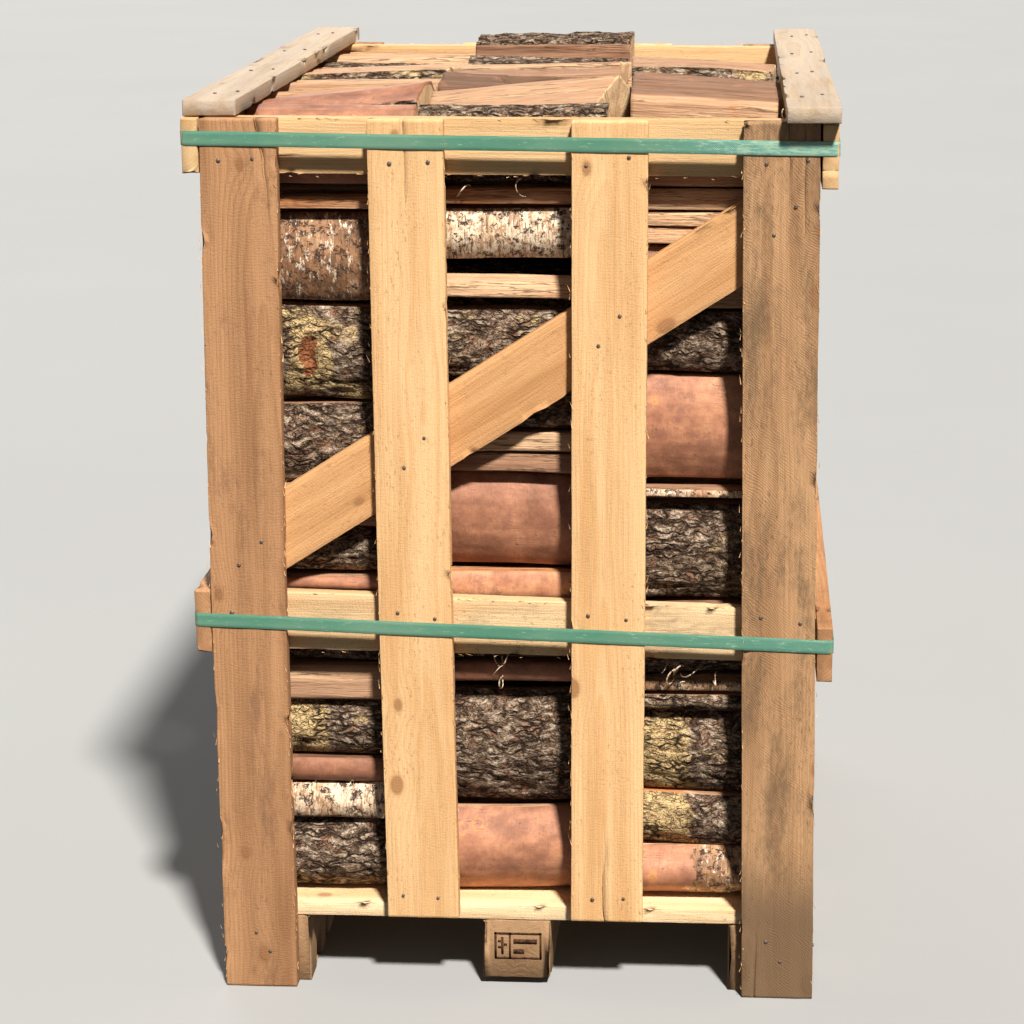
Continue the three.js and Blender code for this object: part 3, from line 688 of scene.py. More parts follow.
def packed_cells(low, high, count):
    """Sections of split logs stacked tight in a box: each is what lies nearest its own seed."""
    seeds = log_rng.uniform(low, high, (count, 2))
    box = np.array([low, (high[0], low[1]), high, (low[0], high[1])], float)
    for _ in range(3):
        cells = []
        for seed in seeds:
            cell = box
            for other in seeds[np.argsort(((seeds - seed) ** 2).sum(1))[1:22]]:
                normal = other - seed
                cell = clipped(cell, normal, normal @ (other + seed) / 2)
            cells.append(cell)
        seeds = np.array([cell.mean(0) for cell in cells])
    return cells


def split_section(cell, bark_way, skin, hug=0.16, gap=0.0022):
    """A split log's section inside a cell: one bark arc towards bark_way, and riven sides."""
    centre = cell.mean(0)
    sides = np.roll(cell, -1, 0) - cell
    normals = np.stack([sides[:, 1], -sides[:, 0]], -1)
    normals /= np.linalg.norm(normals, axis=1, keepdims=True)
    limits = (normals * cell).sum(1) - gap
    facing = normals @ bark_way > 0.45
    if not facing.any():
        facing[np.argmax(normals @ bark_way)] = True
    count = len(cell)
    start = next(i for i in range(count) if facing[i] and not facing[i - 1])
    run = 0
    while facing[(start + run) % count] and run < count - 1:
        run += 1
    first, last = cell[start], cell[(start + run) % count]
    first, last = first + (centre - first) * hug, last + (centre - last) * hug
    middle = (first + last) / 2
    way = (last - first)[::-1] * (1, -1)
    way = way / np.linalg.norm(way)
    rise = min(((limits[i % count] - normals[i % count] @ middle) / max(normals[i % count] @ way, 0.05))
               for i in range(start, start + run))
    rise = min(max(rise, 0.0), 0.48 * np.linalg.norm(last - first))
    share = np.linspace(0, 1, 9)[:, None]
    arc = first + share * (last - first) + way * rise * (1 - (2 * share - 1) ** 2)
    rest = [cell[(start + run + k) % count] for k in range(1, count - run)]
    section = np.array([*arc, *rest])
    for normal, limit in zip(normals, limits):
        over = np.maximum(section @ normal - limit, 0)
        section = section - over[:, None] * normal
    return section, np.where(np.arange(len(section)) < 8, skin, RIVEN)


def front_section(low, high, depth, sag, lean, skin, y0):
    """A log in the front row: its outer face is an arc of that sag, or flat and leaning."""
    share = np.linspace(1, 0, 9)
    outer = y0 + sag * (2 * share - 1) ** 2 + abs(lean) * (share if lean > 0 else 1 - share)
    arc = np.stack([outer, low + share * (high - low)], -1)
    tall = high - low
    back = [(y0 + 0.45 * depth, low), (y0 + depth, low + 0.12 * tall),
            (y0 + 0.96 * depth, high - 0.1 * tall), (y0 + 0.5 * depth, high)]
    section = np.array([*arc, *back])
    return section, np.where(np.arange(len(section)) < 8, skin, RIVEN)


def log_body(section, sides, ends, marks, step, tone, rough=1.0, end_rings=(0.93, 0.6, 0.25)):
    """One log: its points, faces, finishes, grain and tone. marks are the stations along it and
    sides the finish of each side of its section."""
    ring, skin = [], []
    for a, b, side in zip(section, np.roll(section, -1, 0), sides):
        parts = max(1, round(np.linalg.norm(b - a) / step))
        ring += [a + (b - a) * k / parts for k in range(parts)]
        skin += [side] * parts
    ring, skin = np.array(ring), np.array(skin)
    tangent = np.roll(ring, -1, 0) - np.roll(ring, 1, 0)
    normal = np.stack([tangent[:, 1], -tangent[:, 0]], -1)
    normal /= np.linalg.norm(normal, axis=1, keepdims=True) + 1e-9
    centre = ring.mean(0)
    around, rows = len(ring), len(marks)
    seed = int(log_rng.integers(1, 99999))
    tilt = log_rng.uniform(-0.05, 0.05, (2, 2))
    offset = ring - centre
    start = ends[0] + np.abs(offset @ tilt[0])
    end = ends[1] - np.abs(offset @ tilt[1])
    x = start + np.asarray(marks)[:, None] * (end - start)
    place = np.concatenate([x[..., None], np.broadcast_to(ring, (rows, around, 2))], -1)
    before = np.roll(skin, 1)
    torn = 0.0045 * (noise_at(place * (7, 85, 85), seed + 3) - 0.7)
    torn += 0.0016 * (noise_at(place * (16, 260, 260), seed + 5) - 0.6)
    rift = np.abs(noise_at(place * (17, 60, 60), seed + 9) - 0.5)
    rugged = 0.0065 * (fractal_at(place * (34, 95, 95), seed) - 0.62)
    rugged -= 0.004 * np.clip(1 - rift / 0.07, 0, 1)
    moved = np.where((skin == DARK) & (before == DARK), rugged, torn)
    flaky = 0.0022 * (fractal_at(place * (40, 60, 60), seed) - 0.7)
    moved = np.where((skin == WHITE) & (before == WHITE), flaky, moved)
    even = 0.0020 * (noise_at(place * (7, 26, 26), seed) - 0.8)
    moved = np.where((skin == BAST) & (before == BAST), even, moved) * rough
    shrink = 1 - 0.035 * noise_at(np.stack([x * 9, x * 0 + seed, x * 0], -1), seed)[..., None]
    shape = centre + (ring - centre) * shrink + normal * moved[..., None]
    points = [np.concatenate([x[..., None], shape], -1).reshape(-1, 3)]
    faces = ring_faces(rows, around)
    looks = [np.tile(skin, rows - 1)]
    total = rows * around
    for row, outward in ((0, -1), (rows - 1, 1)):
        rim = np.arange(row * around, (row + 1) * around)
        cap_x = x[row]
        for scale in end_rings:
            inner = centre + (shape[row] - centre) * scale
            disc = np.concatenate([cap_x[:, None], inner], -1)
            disc[:, 0] += outward * 0.0012 * (noise_at(disc * 130, seed + 11) - 0.5)
            points.append(disc)
            fresh = np.arange(total, total + around)
            total += around
            after = np.roll(np.arange(around), -1)
            quads = np.stack([rim, rim[after], fresh[after], fresh], -1)
            faces += (quads if outward > 0 else quads[:, ::-1]).tolist()
            looks.append(np.where((skin != RIVEN) & (scale == end_rings[0]), skin, END))
            rim = fresh
        points.append(np.array([[cap_x.mean(), *centre]]))
        after = np.roll(rim, -1)
        fan = np.stack([rim, after, np.full(around, total)], -1)
        faces += (fan if outward > 0 else fan[:, ::-1]).tolist()
        looks.append(np.full(around, END))
        total += 1
    points = np.concatenate(points)
    coated = ring[skin != RIVEN]
    heart = centre + (centre - coated.mean(0)) * 0.95 if len(coated) else centre
    grain = points - (log_rng.uniform(-5, 5), *heart)
    return points, faces, np.concatenate(looks), grain, np.full(len(points), tone)


def log_piece(name, bodies, slot, *stands_for):
    """Several logs as one piece."""
    points, faces, looks, grain, tone, total = [], [], [], [], [], 0
    for body in bodies:
        points.append(body[0])
        faces += [[index + total for index in face] for face in body[1]]
        looks.append(body[2])
        grain.append(body[3])
        tone.append(body[4])
        total += len(body[0])
    piece = wooden_piece(name, np.concatenate(points), faces, log_finishes, np.concatenate(looks),
                         np.concatenate(grain), np.concatenate(tone))
    on_crate(piece, slot, *stands_for)
    return piece


def even_marks(length, step):
    return np.linspace(0, 1, max(3, round(length / step)) + 1)


# Firewood columns: three stacks of birch logs, laid across the pallet by hand and held only by
# the crate. Each log of the front row, from the bottom, has its low and high edge, its outer
# face, tone, sag and lean. Behind it split logs are packed tight, and the back row is barked.
columns = {"left": (-0.376, -0.1295), "centre": (-0.125, 0.1225), "right": (0.1265, 0.374)}
front_rows = {
    "left": [
        (0.1245, 0.227, DARK, 0.40, 0.034, 0.0),
        (0.229, 0.284, WHITE, 0.25, 0.010, 0.004), (0.286, 0.321, BAST, 0.12, 0.008, 0.0),
        (0.323, 0.405, DARK, 0.72, 0.018, 0.0), (0.408, 0.456, RIVEN, 0.55, 0.003, 0.008),
        (0.459, 0.560, DARK, 0.40, 0.018, 0.0), (0.563, 0.587, BAST, 0.40, 0.007, 0.0),
        (0.590, 0.653, DARK, 0.30, 0.014, 0.0), (0.656, 0.713, RIVEN, 0.40, 0.003, 0.006),
        (0.716, 0.827, DARK, 0.28, 0.020, 0.0), (0.830, 0.959, DARK, 0.52, 0.022, 0.0),
        (0.963, 1.084, WHITE, 0.88, 0.020, 0.0), (1.087, 1.106, RIVEN, 0.92, 0.003, 0.002),
        (1.1075, 1.1185, RIVEN, 0.22, 0.002, 0.006)],
    "centre": [
        (0.1245, 0.251, BAST, 0.55, 0.036, 0.0),
        (0.256, 0.423, DARK, 0.20, 0.030, 0.0), (0.437, 0.466, BAST, 0.35, 0.006, 0.0),
        (0.470, 0.548, DARK, 0.35, 0.014, 0.0), (0.551, 0.595, BAST, 0.95, 0.007, 0.0),
        (0.598, 0.731, BAST, 0.30, 0.026, 0.0), (0.734, 0.761, RIVEN, 0.28, 0.003, 0.004),
        (0.763, 0.790, RIVEN, 0.62, 0.003, 0.004), (0.793, 0.853, DARK, 0.30, 0.014, 0.0),
        (0.856, 0.953, DARK, 0.42, 0.018, 0.0), (0.972, 1.003, RIVEN, 0.66, 0.003, 0.012),
        (1.022, 1.093, WHITE, 0.22, 0.014, 0.0), (1.096, 1.1185, RIVEN, 0.94, 0.003, 0.003)],
    "right": [
        (0.1245, 0.196, BAST, 0.60, 0.030, 0.0),
        (0.199, 0.276, DARK, 0.70, 0.018, 0.0), (0.279, 0.397, DARK, 0.66, 0.022, 0.0),
        (0.401, 0.424, DARK, 0.30, 0.006, 0.0), (0.427, 0.446, WHITE, 0.60, 0.004, 0.0),
        (0.452, 0.550, DARK, 0.20, 0.014, 0.0),
        (0.553, 0.690, DARK, 0.36, 0.022, 0.0), (0.693, 0.702, RIVEN, 0.3, 0.002, 0.006),
        (0.704, 0.715, WHITE, 0.30, 0.002, 0.002), (0.722, 0.868, BAST, 0.62, 0.022, 0.0),
        (0.872, 0.955, DARK, 0.35, 0.016, 0.0), (0.958, 1.043, RIVEN, 0.5, 0.003, 0.008),
        (1.046, 1.068, RIVEN, 0.74, 0.002, 0.003), (1.069, 1.088, RIVEN, 0.68, 0.002, 0.002),
        (1.089, 1.1185, RIVEN, 0.60, 0.003, 0.008)],
}
log_front = -0.452
inner_low, inner_high, inner_count = (-0.362, 0.1225), (0.452, 1.1185), 62
knotty_log, flaky_log = ("left", 0.830), ("right", 0.1245)
lichen_edge = {"left": -0.266, "centre": 0.0, "right": 0.236}
skins = [DARK, DARK, WHITE, BAST]
for column, (near_end, far_end) in columns.items():
    length = far_end - near_end
    front = []
    for low, high, skin, tone, sag, lean in front_rows[column]:
        depth = float(np.clip(1.05 * (high - low), 0.045, 0.088))
        sunk = 0.030 if skin == RIVEN and high - low < 0.016 else 0.0
        proud = 0.012 if low < 0.13 else 0.0
        section, sides = front_section(low, high, depth, sag, lean, skin, log_front + sunk - proud)
        ends = (near_end + log_rng.uniform(0, 0.006), far_end - log_rng.uniform(0, 0.006))
        marks = even_marks(length, 0.0052)
        body = log_body(section, sides, ends, marks, 0.0052, tone)
        if skin == DARK and tone > 0.6:
            past_edge = (body[0][:, 0] - lichen_edge[column]) / 0.006
            body[4][:] = 0.30 + 0.75 / (1 + np.exp(past_edge))
        if (column, low) == knotty_log:
            spot = body[0] + 0.012 * (noise_at(body[0] * 90, 3)[:, None] - 0.5)
            from_knot = np.hypot((spot[:, 0] + 0.275) / 0.010, (spot[:, 2] - 0.893) / 0.021)
            body[4][:] += 0.50 * np.exp(-((from_knot - 1.9) ** 2) * 1.6)
            at_front = body[0][:, 1] < -0.40
            inside = np.clip(1.5 - from_knot, 0, 1) * at_front
            body[4][:] += 1.6 * np.clip(2.0 * inside, 0, 1)
            body[0][:, 1] += 0.009 * inside - 0.004 * at_front * np.exp(-((from_knot - 1.6) ** 2) * 8)
        if (column, low) == flaky_log:
            spot = np.array([body[0][face].mean(0) for face in body[1]])
            flaky = spot[:, 0] + 0.045 * (fractal_at(spot * 60, 5) - 0.5) > 0.235
            body[2][flaky & (body[2] == BAST)] = WHITE
        share = (body[0][:, 0] - near_end) / length - 0.5
        slope = log_rng.uniform(-1, 1) * min(0.008, 0.10 * (high - low))
        bow = log_rng.uniform(-1, 1) * min(0.003, 0.04 * (high - low))
        body[0][:, 2] += slope * share + bow * (1 - 4 * share**2)
        front.append(body)
    log_piece(f"front_logs_{column}", front, "birch_bark", f"log_stack_{column}")
    inner, back = [], []
    for cell in packed_cells(inner_low, inner_high, inner_count):
        at_back = cell[:, 0].max() > inner_high[0] - 0.003
        turn = log_rng.uniform(-0.5, 0.5) if at_back else log_rng.uniform(0, 6.28)
        skin = skins[log_rng.integers(0, 4)]
        if at_back and log_rng.random() < 0.25:
            skin = RIVEN
        section, sides = split_section(cell, np.array([math.cos(turn), math.sin(turn)]), skin)
        tone = log_rng.uniform(0.2, 0.8)
        ends = (near_end + log_rng.uniform(0, 0.010), far_end - log_rng.uniform(0, 0.010))
        if at_back:
            back.append(log_body(section, sides, ends, even_marks(length, 0.0075), 0.0075, tone))
        elif column == "centre":
            inner.append(log_body(section, sides, ends, (0, 0.5, 1), 0.03, tone, 0.3, (0.6,)))
        else:
            near = np.array([0, 0.012, 0.035, 0.07, 0.12, 0.2, 0.5, 1])
            marks = near if column == "left" else 1 - near[::-1]
            inner.append(log_body(section, sides, ends, marks, 0.0075, tone))
    log_piece(f"inner_logs_{column}", inner, "birch_split", f"log_stack_{column}")
    log_piece(f"back_logs_{column}", back, "birch_bark", f"log_stack_{column}")


# Top layer: nineteen loose split logs on top of the columns, wedge sections that lie as they were
# thrown. Each has its section in shares of its CAD box, front to back and bottom to top, with the
# finish of the side that starts there, then its tone and its height at the left and right end.
top_layer = {
    "left_1": (0.38, 1.0, 1.0, [(0, 0, RIVEN), (0.9, 0, RIVEN), (1, 0.5, BAST), (0.78, 0.86, BAST),
               (0.45, 1, BAST), (0.2, 0.95, BAST), (0.02, 0.7, BAST)]),
    "left_2": (0.26, 0.76, 1.0, [(0.04, 0, RIVEN), (1, 0.05, RIVEN), (1, 0.7, BAST), (0.72, 0.97, BAST),
               (0.4, 0.99, BAST), (0, 0.84, DARK), (0.0, 0.66, RIVEN)]),
    "left_3": (0.48, 0.85, 1.0, [(0, 0, RIVEN), (1, 0.1, RIVEN), (0.9, 0.86, RIVEN), (0.3, 1, RIVEN),
               (0, 0.82, RIVEN)]),
    "left_4": (0.62, 0.9, 0.96, [(0, 0, RIVEN), (1, 0, RIVEN), (0.9, 0.96, RIVEN), (0.1, 1, RIVEN)]),
    "left_5": (0.58, 0.9, 1.0, [(0.03, 0, RIVEN), (1, 0, RIVEN), (1, 0.93, RIVEN), (0.12, 1, DARK),
               (0.03, 0.92, DARK), (0, 0.6, DARK)]),
    "left_6": (0.54, 1.0, 0.95, [(0, 0, RIVEN), (1, 0, RIVEN), (1, 0.7, DARK), (0.8, 0.95, DARK),
               (0.5, 1, DARK), (0.3, 0.94, RIVEN), (0, 0.86, RIVEN)]),
    "left_7": (0.60, 1.0, 1.0, [(0, 0, RIVEN), (1, 0.1, RIVEN), (0.85, 0.92, RIVEN), (0.3, 1, RIVEN),
               (0, 0.7, RIVEN)]),
    "centre_1": (0.22, 0.97, 1.0, [(0, 0.05, RIVEN), (1, 0, RIVEN), (1, 0.75, DARK), (0.8, 0.96, DARK),
                 (0.5, 1, DARK), (0.2, 0.95, DARK), (0.02, 0.7, DARK)]),
    "centre_2": (0.54, 0.80, 1.0, [(0, 0, RIVEN), (1, 0, RIVEN), (0.98, 0.80, RIVEN), (0.62, 1, RIVEN),
                 (0, 0.76, RIVEN)]),
    "centre_3": (0.07, 1.0, 0.94, [(0, 0, RIVEN), (1, 0.05, RIVEN), (0.94, 0.9, RIVEN), (0.5, 1, RIVEN),
                 (0.02, 0.9, RIVEN)]),
    "centre_4": (0.32, 0.95, 1.0, [(0, 0, RIVEN), (1, 0, RIVEN), (0.85, 0.98, RIVEN), (0.2, 1, RIVEN),
                 (0, 0.9, RIVEN)]),
    "centre_5": (0.56, 0.92, 1.0, [(0.05, 0, RIVEN), (1, 0, RIVEN), (0.95, 0.94, RIVEN), (0.1, 1, RIVEN)]),
    "centre_6": (0.30, 0.93, 0.90, [(0, 0.05, RIVEN), (1, 0, RIVEN), (1, 0.7, BAST), (0.8, 0.93, BAST),
                 (0.5, 1, DARK), (0.2, 0.94, DARK), (0.02, 0.72, RIVEN)]),
    "centre_7": (0.24, 0.98, 1.0, [(0.02, 0.1, RIVEN), (0.5, 0, RIVEN), (1, 0.3, DARK), (0.92, 0.8, DARK),
                 (0.7, 0.97, DARK), (0.4, 1, DARK), (0.14, 0.97, DARK), (0.07, 0.90, RIVEN)]),
    "right_1": (0.20, 1.0, 0.90, [(0, 0, RIVEN), (1, 0, RIVEN), (1, 0.98, RIVEN), (0.6, 0.98, RIVEN),
                (0.16, 0.90, RIVEN), (0.07, 0.84, RIVEN)]),
    "right_2": (0.48, 1.0, 0.93, [(0.02, 0, RIVEN), (1, 0, RIVEN), (1, 0.9, RIVEN), (0.35, 1, RIVEN),
                (0.10, 0.97, DARK), (0.02, 0.86, DARK), (0.0, 0.6, DARK)]),
    "right_3": (0.50, 1.0, 0.94, [(0, 0, RIVEN), (1, 0.1, RIVEN), (0.9, 0.9, RIVEN), (0.3, 1, RIVEN),
                (0, 0.75, RIVEN)]),
    "right_4": (0.35, 0.95, 1.0, [(0, 0, RIVEN), (1, 0, RIVEN), (1, 0.6, WHITE), (0.8, 0.9, WHITE),
                (0.5, 1, WHITE), (0.2, 0.9, WHITE), (0, 0.6, WHITE)]),
    "right_5": (0.56, 1.0, 0.9, [(0, 0, RIVEN), (1, 0.1, RIVEN), (0.8, 0.95, RIVEN), (0.3, 1, RIVEN),
                (0, 0.7, RIVEN)]),
}
# An end sawn askew: how far the right end runs out towards the back.
end_turns = {"centre_2": 0.046, "left_2": 0.020, "left_5": 0.016, "centre_5": 0.016}
for place_name, (tone, left_rise, right_rise, outline) in top_layer.items():
    node_name = f"top_log_{place_name}"
    low, high = (np.array(corner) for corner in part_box(node_name))
    section = low[1:] + np.array([corner[:2] for corner in outline]) * (high - low)[1:]
    sides = np.array([corner[2] for corner in outline])
    marks = even_marks(high[0] - low[0], 0.0048)
    rough = 1.7 if place_name == "centre_7" else 1.0
    body = log_body(section, sides, (low[0], high[0]), marks, 0.0048, tone, rough)
    points = body[0]
    if place_name == "right_1":
        body[4][points[:, 1] < low[1] + 0.030] = 0.56
    if place_name == "centre_3":
        spread_x, spread_y = (points[:, 0] - 0.004) / 0.040, (points[:, 1] + 0.172) / 0.024
        hollow = np.clip(1.25 - spread_x**2 - spread_y**2, 0, 1) * (points[:, 2] > high[2] - 0.03)
        points[:, 2] -= 0.018 * hollow**0.5
        # The hollow is also painted darker, down to the darkest riven brown: painted shade in the recess.
        body[4][:] -= 1.2 * hollow
    share = (points[:, 0] - low[0]) / (high[0] - low[0])
    rise = left_rise + (right_rise - left_rise) * share
    points[:, 2] = low[2] + (points[:, 2] - low[2]) * rise
    back = (points[:, 1] - low[1]) / (high[1] - low[1])
    points[:, 0] += share * end_turns.get(place_name, 0.0) * (back - 0.45)
    slot = "birch_bark" if (sides == DARK).sum() > 3 else "birch_split"
    log_piece(f"top_log_{place_name}_wood", [body], slot, node_name)


# Straps: two flat green plastic bands, 19 mm wide and 1 mm thick, embossed with a fine lattice.
# They are pulled tight round the crate over the side rails, and their ends are welded together
# at the back. The upper one is rubbed pale on the right.
def strap_plastic():
    material, tree, surface = shader("strap_plastic", 0.42, 0.45)
    run, wear = place_values(tree)
    parts = node(tree, "ShaderNodeSeparateXYZ", {0: run})
    along, across, worn = parts.outputs
    up = calc(tree, "SINE", calc(tree, "MULTIPLY", calc(tree, "ADD", along, across), 2600.0))
    down = calc(tree, "SINE", calc(tree, "MULTIPLY", calc(tree, "SUBTRACT", along, across), 2600.0))
    lattice = calc(tree, "MAXIMUM", up, down)
    scuff = cloud(tree, stretched(tree, run, 60, 300, 0), 1.0, 5, 0.75)
    dust = cloud(tree, stretched(tree, run, 6, 20, 0), 1.0, 3)
    colour = blend(tree, span(tree, dust, 0.3, 0.75), (0.070, 0.235, 0.150), (0.150, 0.300, 0.200))
    rubbed = calc(tree, "MULTIPLY", span(tree, worn, 0.35, 0.95), wear)
    colour = blend(tree, calc(tree, "MULTIPLY", rubbed, 0.55), colour, (0.20, 0.44, 0.42))
    bare = calc(tree, "ADD", scuff, calc(tree, "MULTIPLY", rubbed, 0.16))
    colour = blend(tree, calc(tree, "MULTIPLY", span(tree, bare, 0.56, 0.72), 0.7), colour,
                   (0.44, 0.62, 0.42))
    # Both long edges are painted darker green: painted shade along the strap's rounded edges.
    edge = span(tree, calc(tree, "ABSOLUTE", across), 0.0078, 0.0092)
    colour = blend(tree, calc(tree, "MULTIPLY", edge, 0.35), colour, (0.035, 0.130, 0.085))
    tree.links.new(colour, surface.inputs["Base Color"])
    relief(tree, surface, calc(tree, "SUBTRACT", lattice, calc(tree, "MULTIPLY", scuff, 0.6)), 0.00025)
    return material


green_plastic = strap_plastic()
strap_width, strap_thick = 0.019, 0.001
weld_place, weld_half = 0.16, 0.055
strap_ring = [(-0.5, 0.3), (-0.485, 0.0), (0.485, 0.0), (0.5, 0.3), (0.5, 0.7), (0.485, 1.0), (0.25, 1.0),
              (0.0, 1.0), (-0.25, 1.0), (-0.485, 1.0), (-0.5, 0.7)]


def strap_run(path, normals, lift, closed, seed):
    """A flat strap along a path of (x, y, z) points, with the way out of the crate at each."""
    path, normals = np.asarray(path), np.asarray(normals)
    steps = np.linalg.norm(np.diff(path, axis=0, append=path[:1]), axis=1)
    run = np.concatenate([[0], np.cumsum(steps)[:-1]])
    twist = 0.03 * (noise_at(np.stack([run * 7, run * 0, run * 0], -1), seed) - 0.5)
    points, grain = [], []
    for spot, way, turn, travelled in zip(path, normals, twist, run):
        for across, out in strap_ring:
            offset = across * strap_width
            raised = lift + out * strap_thick + abs(turn * offset)
            points.append(spot + way * raised + np.array([0, 0, offset]))
            grain.append((travelled, offset, np.clip(spot[0] / 0.4, 0, 1)))
    rows, around = len(path), len(strap_ring)
    faces = ring_faces(rows + 1 if closed else rows, around)
    if closed:
        faces = [[index % (rows * around) for index in face] for face in faces]
    else:
        faces += [list(range(around))[::-1], [(rows - 1) * around + k for k in range(around)]]
    return np.array(points), faces, np.array(grain, float)


def strap(name, node_name, seed, wear):
    corners = np.array([v.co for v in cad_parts[node_name].data.vertices])
    low, high = corners.min(0) + strap_thick, corners.max(0) - strap_thick
    left_z = corners[corners[:, 0] < 0, 2].mean()
    right_z = corners[corners[:, 0] > 0, 2].mean()
    round_off = 0.006
    turn_steps, run_steps = 6, 44
    path, normals = [], []
    spots = [(low[0], low[1]), (high[0], low[1]), (high[0], high[1]), (low[0], high[1])]
    turns = [(-90, -1, -1), (0, 1, -1), (90, 1, 1), (180, -1, 1)]
    for (x, y), (angle, way_x, way_y), after in zip(spots, turns, spots[1:] + spots[:1]):
        hub = np.array([x - way_x * round_off, y - way_y * round_off])
        for part in range(turn_steps + 1):
            at = math.radians(angle - 90 + part * 90 / turn_steps)
            out = np.array([math.cos(at), math.sin(at)])
            path.append(hub + out * round_off)
            normals.append(out)
        leave, arrive = path[-1], np.array(after)
        way = (arrive - leave) / np.linalg.norm(arrive - leave)
        span_length = np.linalg.norm(arrive - leave) - round_off
        for part in range(1, run_steps):
            path.append(leave + way * span_length * part / run_steps)
            normals.append(normals[-1])
    path, normals = np.array(path), np.array(normals)
    share = (path[:, 0] - low[0]) / (high[0] - low[0])
    height = left_z + (right_z - left_z) * share
    height += 0.0012 * (noise_at(np.stack([path[:, 0] * 9, path[:, 1] * 9, path[:, 0] * 0], -1), seed) - 0.5)
    path = np.concatenate([path, height[:, None]], -1)
    normals = np.concatenate([normals, np.zeros((len(path), 1))], -1)
    points, faces, grain = strap_run(path, normals, 0.0, True, seed)
    at_weld = (path[:, 1] > high[1] - 0.001) & (np.abs(path[:, 0] - weld_place) < weld_half)
    weld = strap_run(path[at_weld], normals[at_weld], strap_thick, False, seed)
    faces += [[index + len(points) for index in face] for face in weld[1]]
    points, grain = np.concatenate([points, weld[0]]), np.concatenate([grain, weld[2]])
    piece = wooden_piece(name, points, faces, [green_plastic], None, grain, np.full(len(points), wear))
    on_crate(piece, "green_band", node_name)


strap("upper_strap", "band_upper", 3, wear=1.0)
strap("lower_strap", "band_lower", 8, wear=0.25)


# Nails: two round heads at every crossing of boards, driven flush, dull and a little rusty. Their
# places come from the boards; the heads are set on them by geometry nodes.
def node_group(name, *sockets):
    """An empty geometry tree with a geometry socket and the named values."""
    tree = bpy.data.node_groups.new(name, "GeometryNodeTree")
    tree.interface.new_socket("Geometry", in_out="INPUT", socket_type="NodeSocketGeometry")
    for label, kind in sockets:
        tree.interface.new_socket(label, in_out="INPUT", socket_type=kind)
    tree.interface.new_socket("Geometry", in_out="OUTPUT", socket_type="NodeSocketGeometry")
    return tree, tree.nodes.new("NodeGroupInput"), tree.nodes.new("NodeGroupOutput")


def grown(name, base_mesh, tree, values, finish):
    """The object that a geometry tree makes from a mesh, turned into a plain mesh."""
    base_mesh.materials.append(finish)
    piece = bpy.data.objects.new(name, base_mesh)
    bpy.context.scene.collection.objects.link(piece)
    growth = piece.modifiers.new("growth", "NODES")
    growth.node_group = tree
    for item in tree.interface.items_tree:
        if item.in_out == "INPUT" and item.name in values:
            growth[item.identifier] = values[item.name]
    depsgraph = bpy.context.evaluated_depsgraph_get()
    finished = bpy.data.meshes.new_from_object(piece.evaluated_get(depsgraph), depsgraph=depsgraph)
    piece.modifiers.clear()
    piece.data = finished
    finished.name = name
    return piece


def spots_mesh(name, spots, ways):
    mesh = bpy.data.meshes.new(name)
    mesh.from_pydata([tuple(spot) for spot in spots], [], [])
    mesh.attributes.new("way", "FLOAT_VECTOR", "POINT").data.foreach_set(
        "vector", np.asarray(ways, np.float32).ravel())
    return mesh


def nail_steel():
    material, tree, surface = shader("nail_steel", 0.48, 0.5)
    where = node(tree, "ShaderNodeTexCoord").outputs["Object"]
    rust = span(tree, cloud(tree, where, 700, 3), 0.42, 0.60)
    colour = blend(tree, rust, (0.20, 0.17, 0.15), (0.10, 0.045, 0.022))
    tree.links.new(colour, surface.inputs["Base Color"])
    surface.inputs["Metallic"].default_value = 0.6
    relief(tree, surface, cloud(tree, where, 1400, 2), 0.0003)
    return material


nail_rng = np.random.default_rng(5)
nail_spots, nail_ways = [], []


def nail_pair(centre, apart, way):
    """Two nails, set to either side of a crossing's middle."""
    for sign in (-1, 1):
        shift = np.array(apart) * sign + nail_rng.uniform(-0.004, 0.004, 3)
        shift[np.argmax(np.abs(way))] = 0
        nail_spots.append(np.array(centre) + shift)
        nail_ways.append(way)


top_nails, middle_nails, deck_nails, bearer_nails = 1.161, 0.549, 0.141, 0.070
brace_height = 0.8595
for panel, way_y, lean in (("front", -1, math.tan(brace_slope)), ("back", 1, -math.tan(brace_slope))):
    for upright in ("post_left", "slat_left", "slat_right", "post_right"):
        low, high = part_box(f"{panel}_{upright}")
        x, face_y = (low.x + high.x) / 2, low.y if way_y < 0 else high.y
        way = (0, way_y, 0)
        nail_pair((x, face_y, top_nails), (0.024, 0, 0.002), way)
        nail_pair((x, face_y, middle_nails), (0.026, 0, -0.003), way)
        crossing = brace_height + lean * x
        if 0.62 < crossing < 1.10:
            nail_pair((x, face_y, crossing), (0.014, 0, 0.018), way)
        if upright.startswith("slat"):
            nail_pair((x, face_y, deck_nails), (0.023, 0, 0.001), way)
        else:
            nail_pair((x, face_y, bearer_nails), (0.011, 0, -0.012), way)
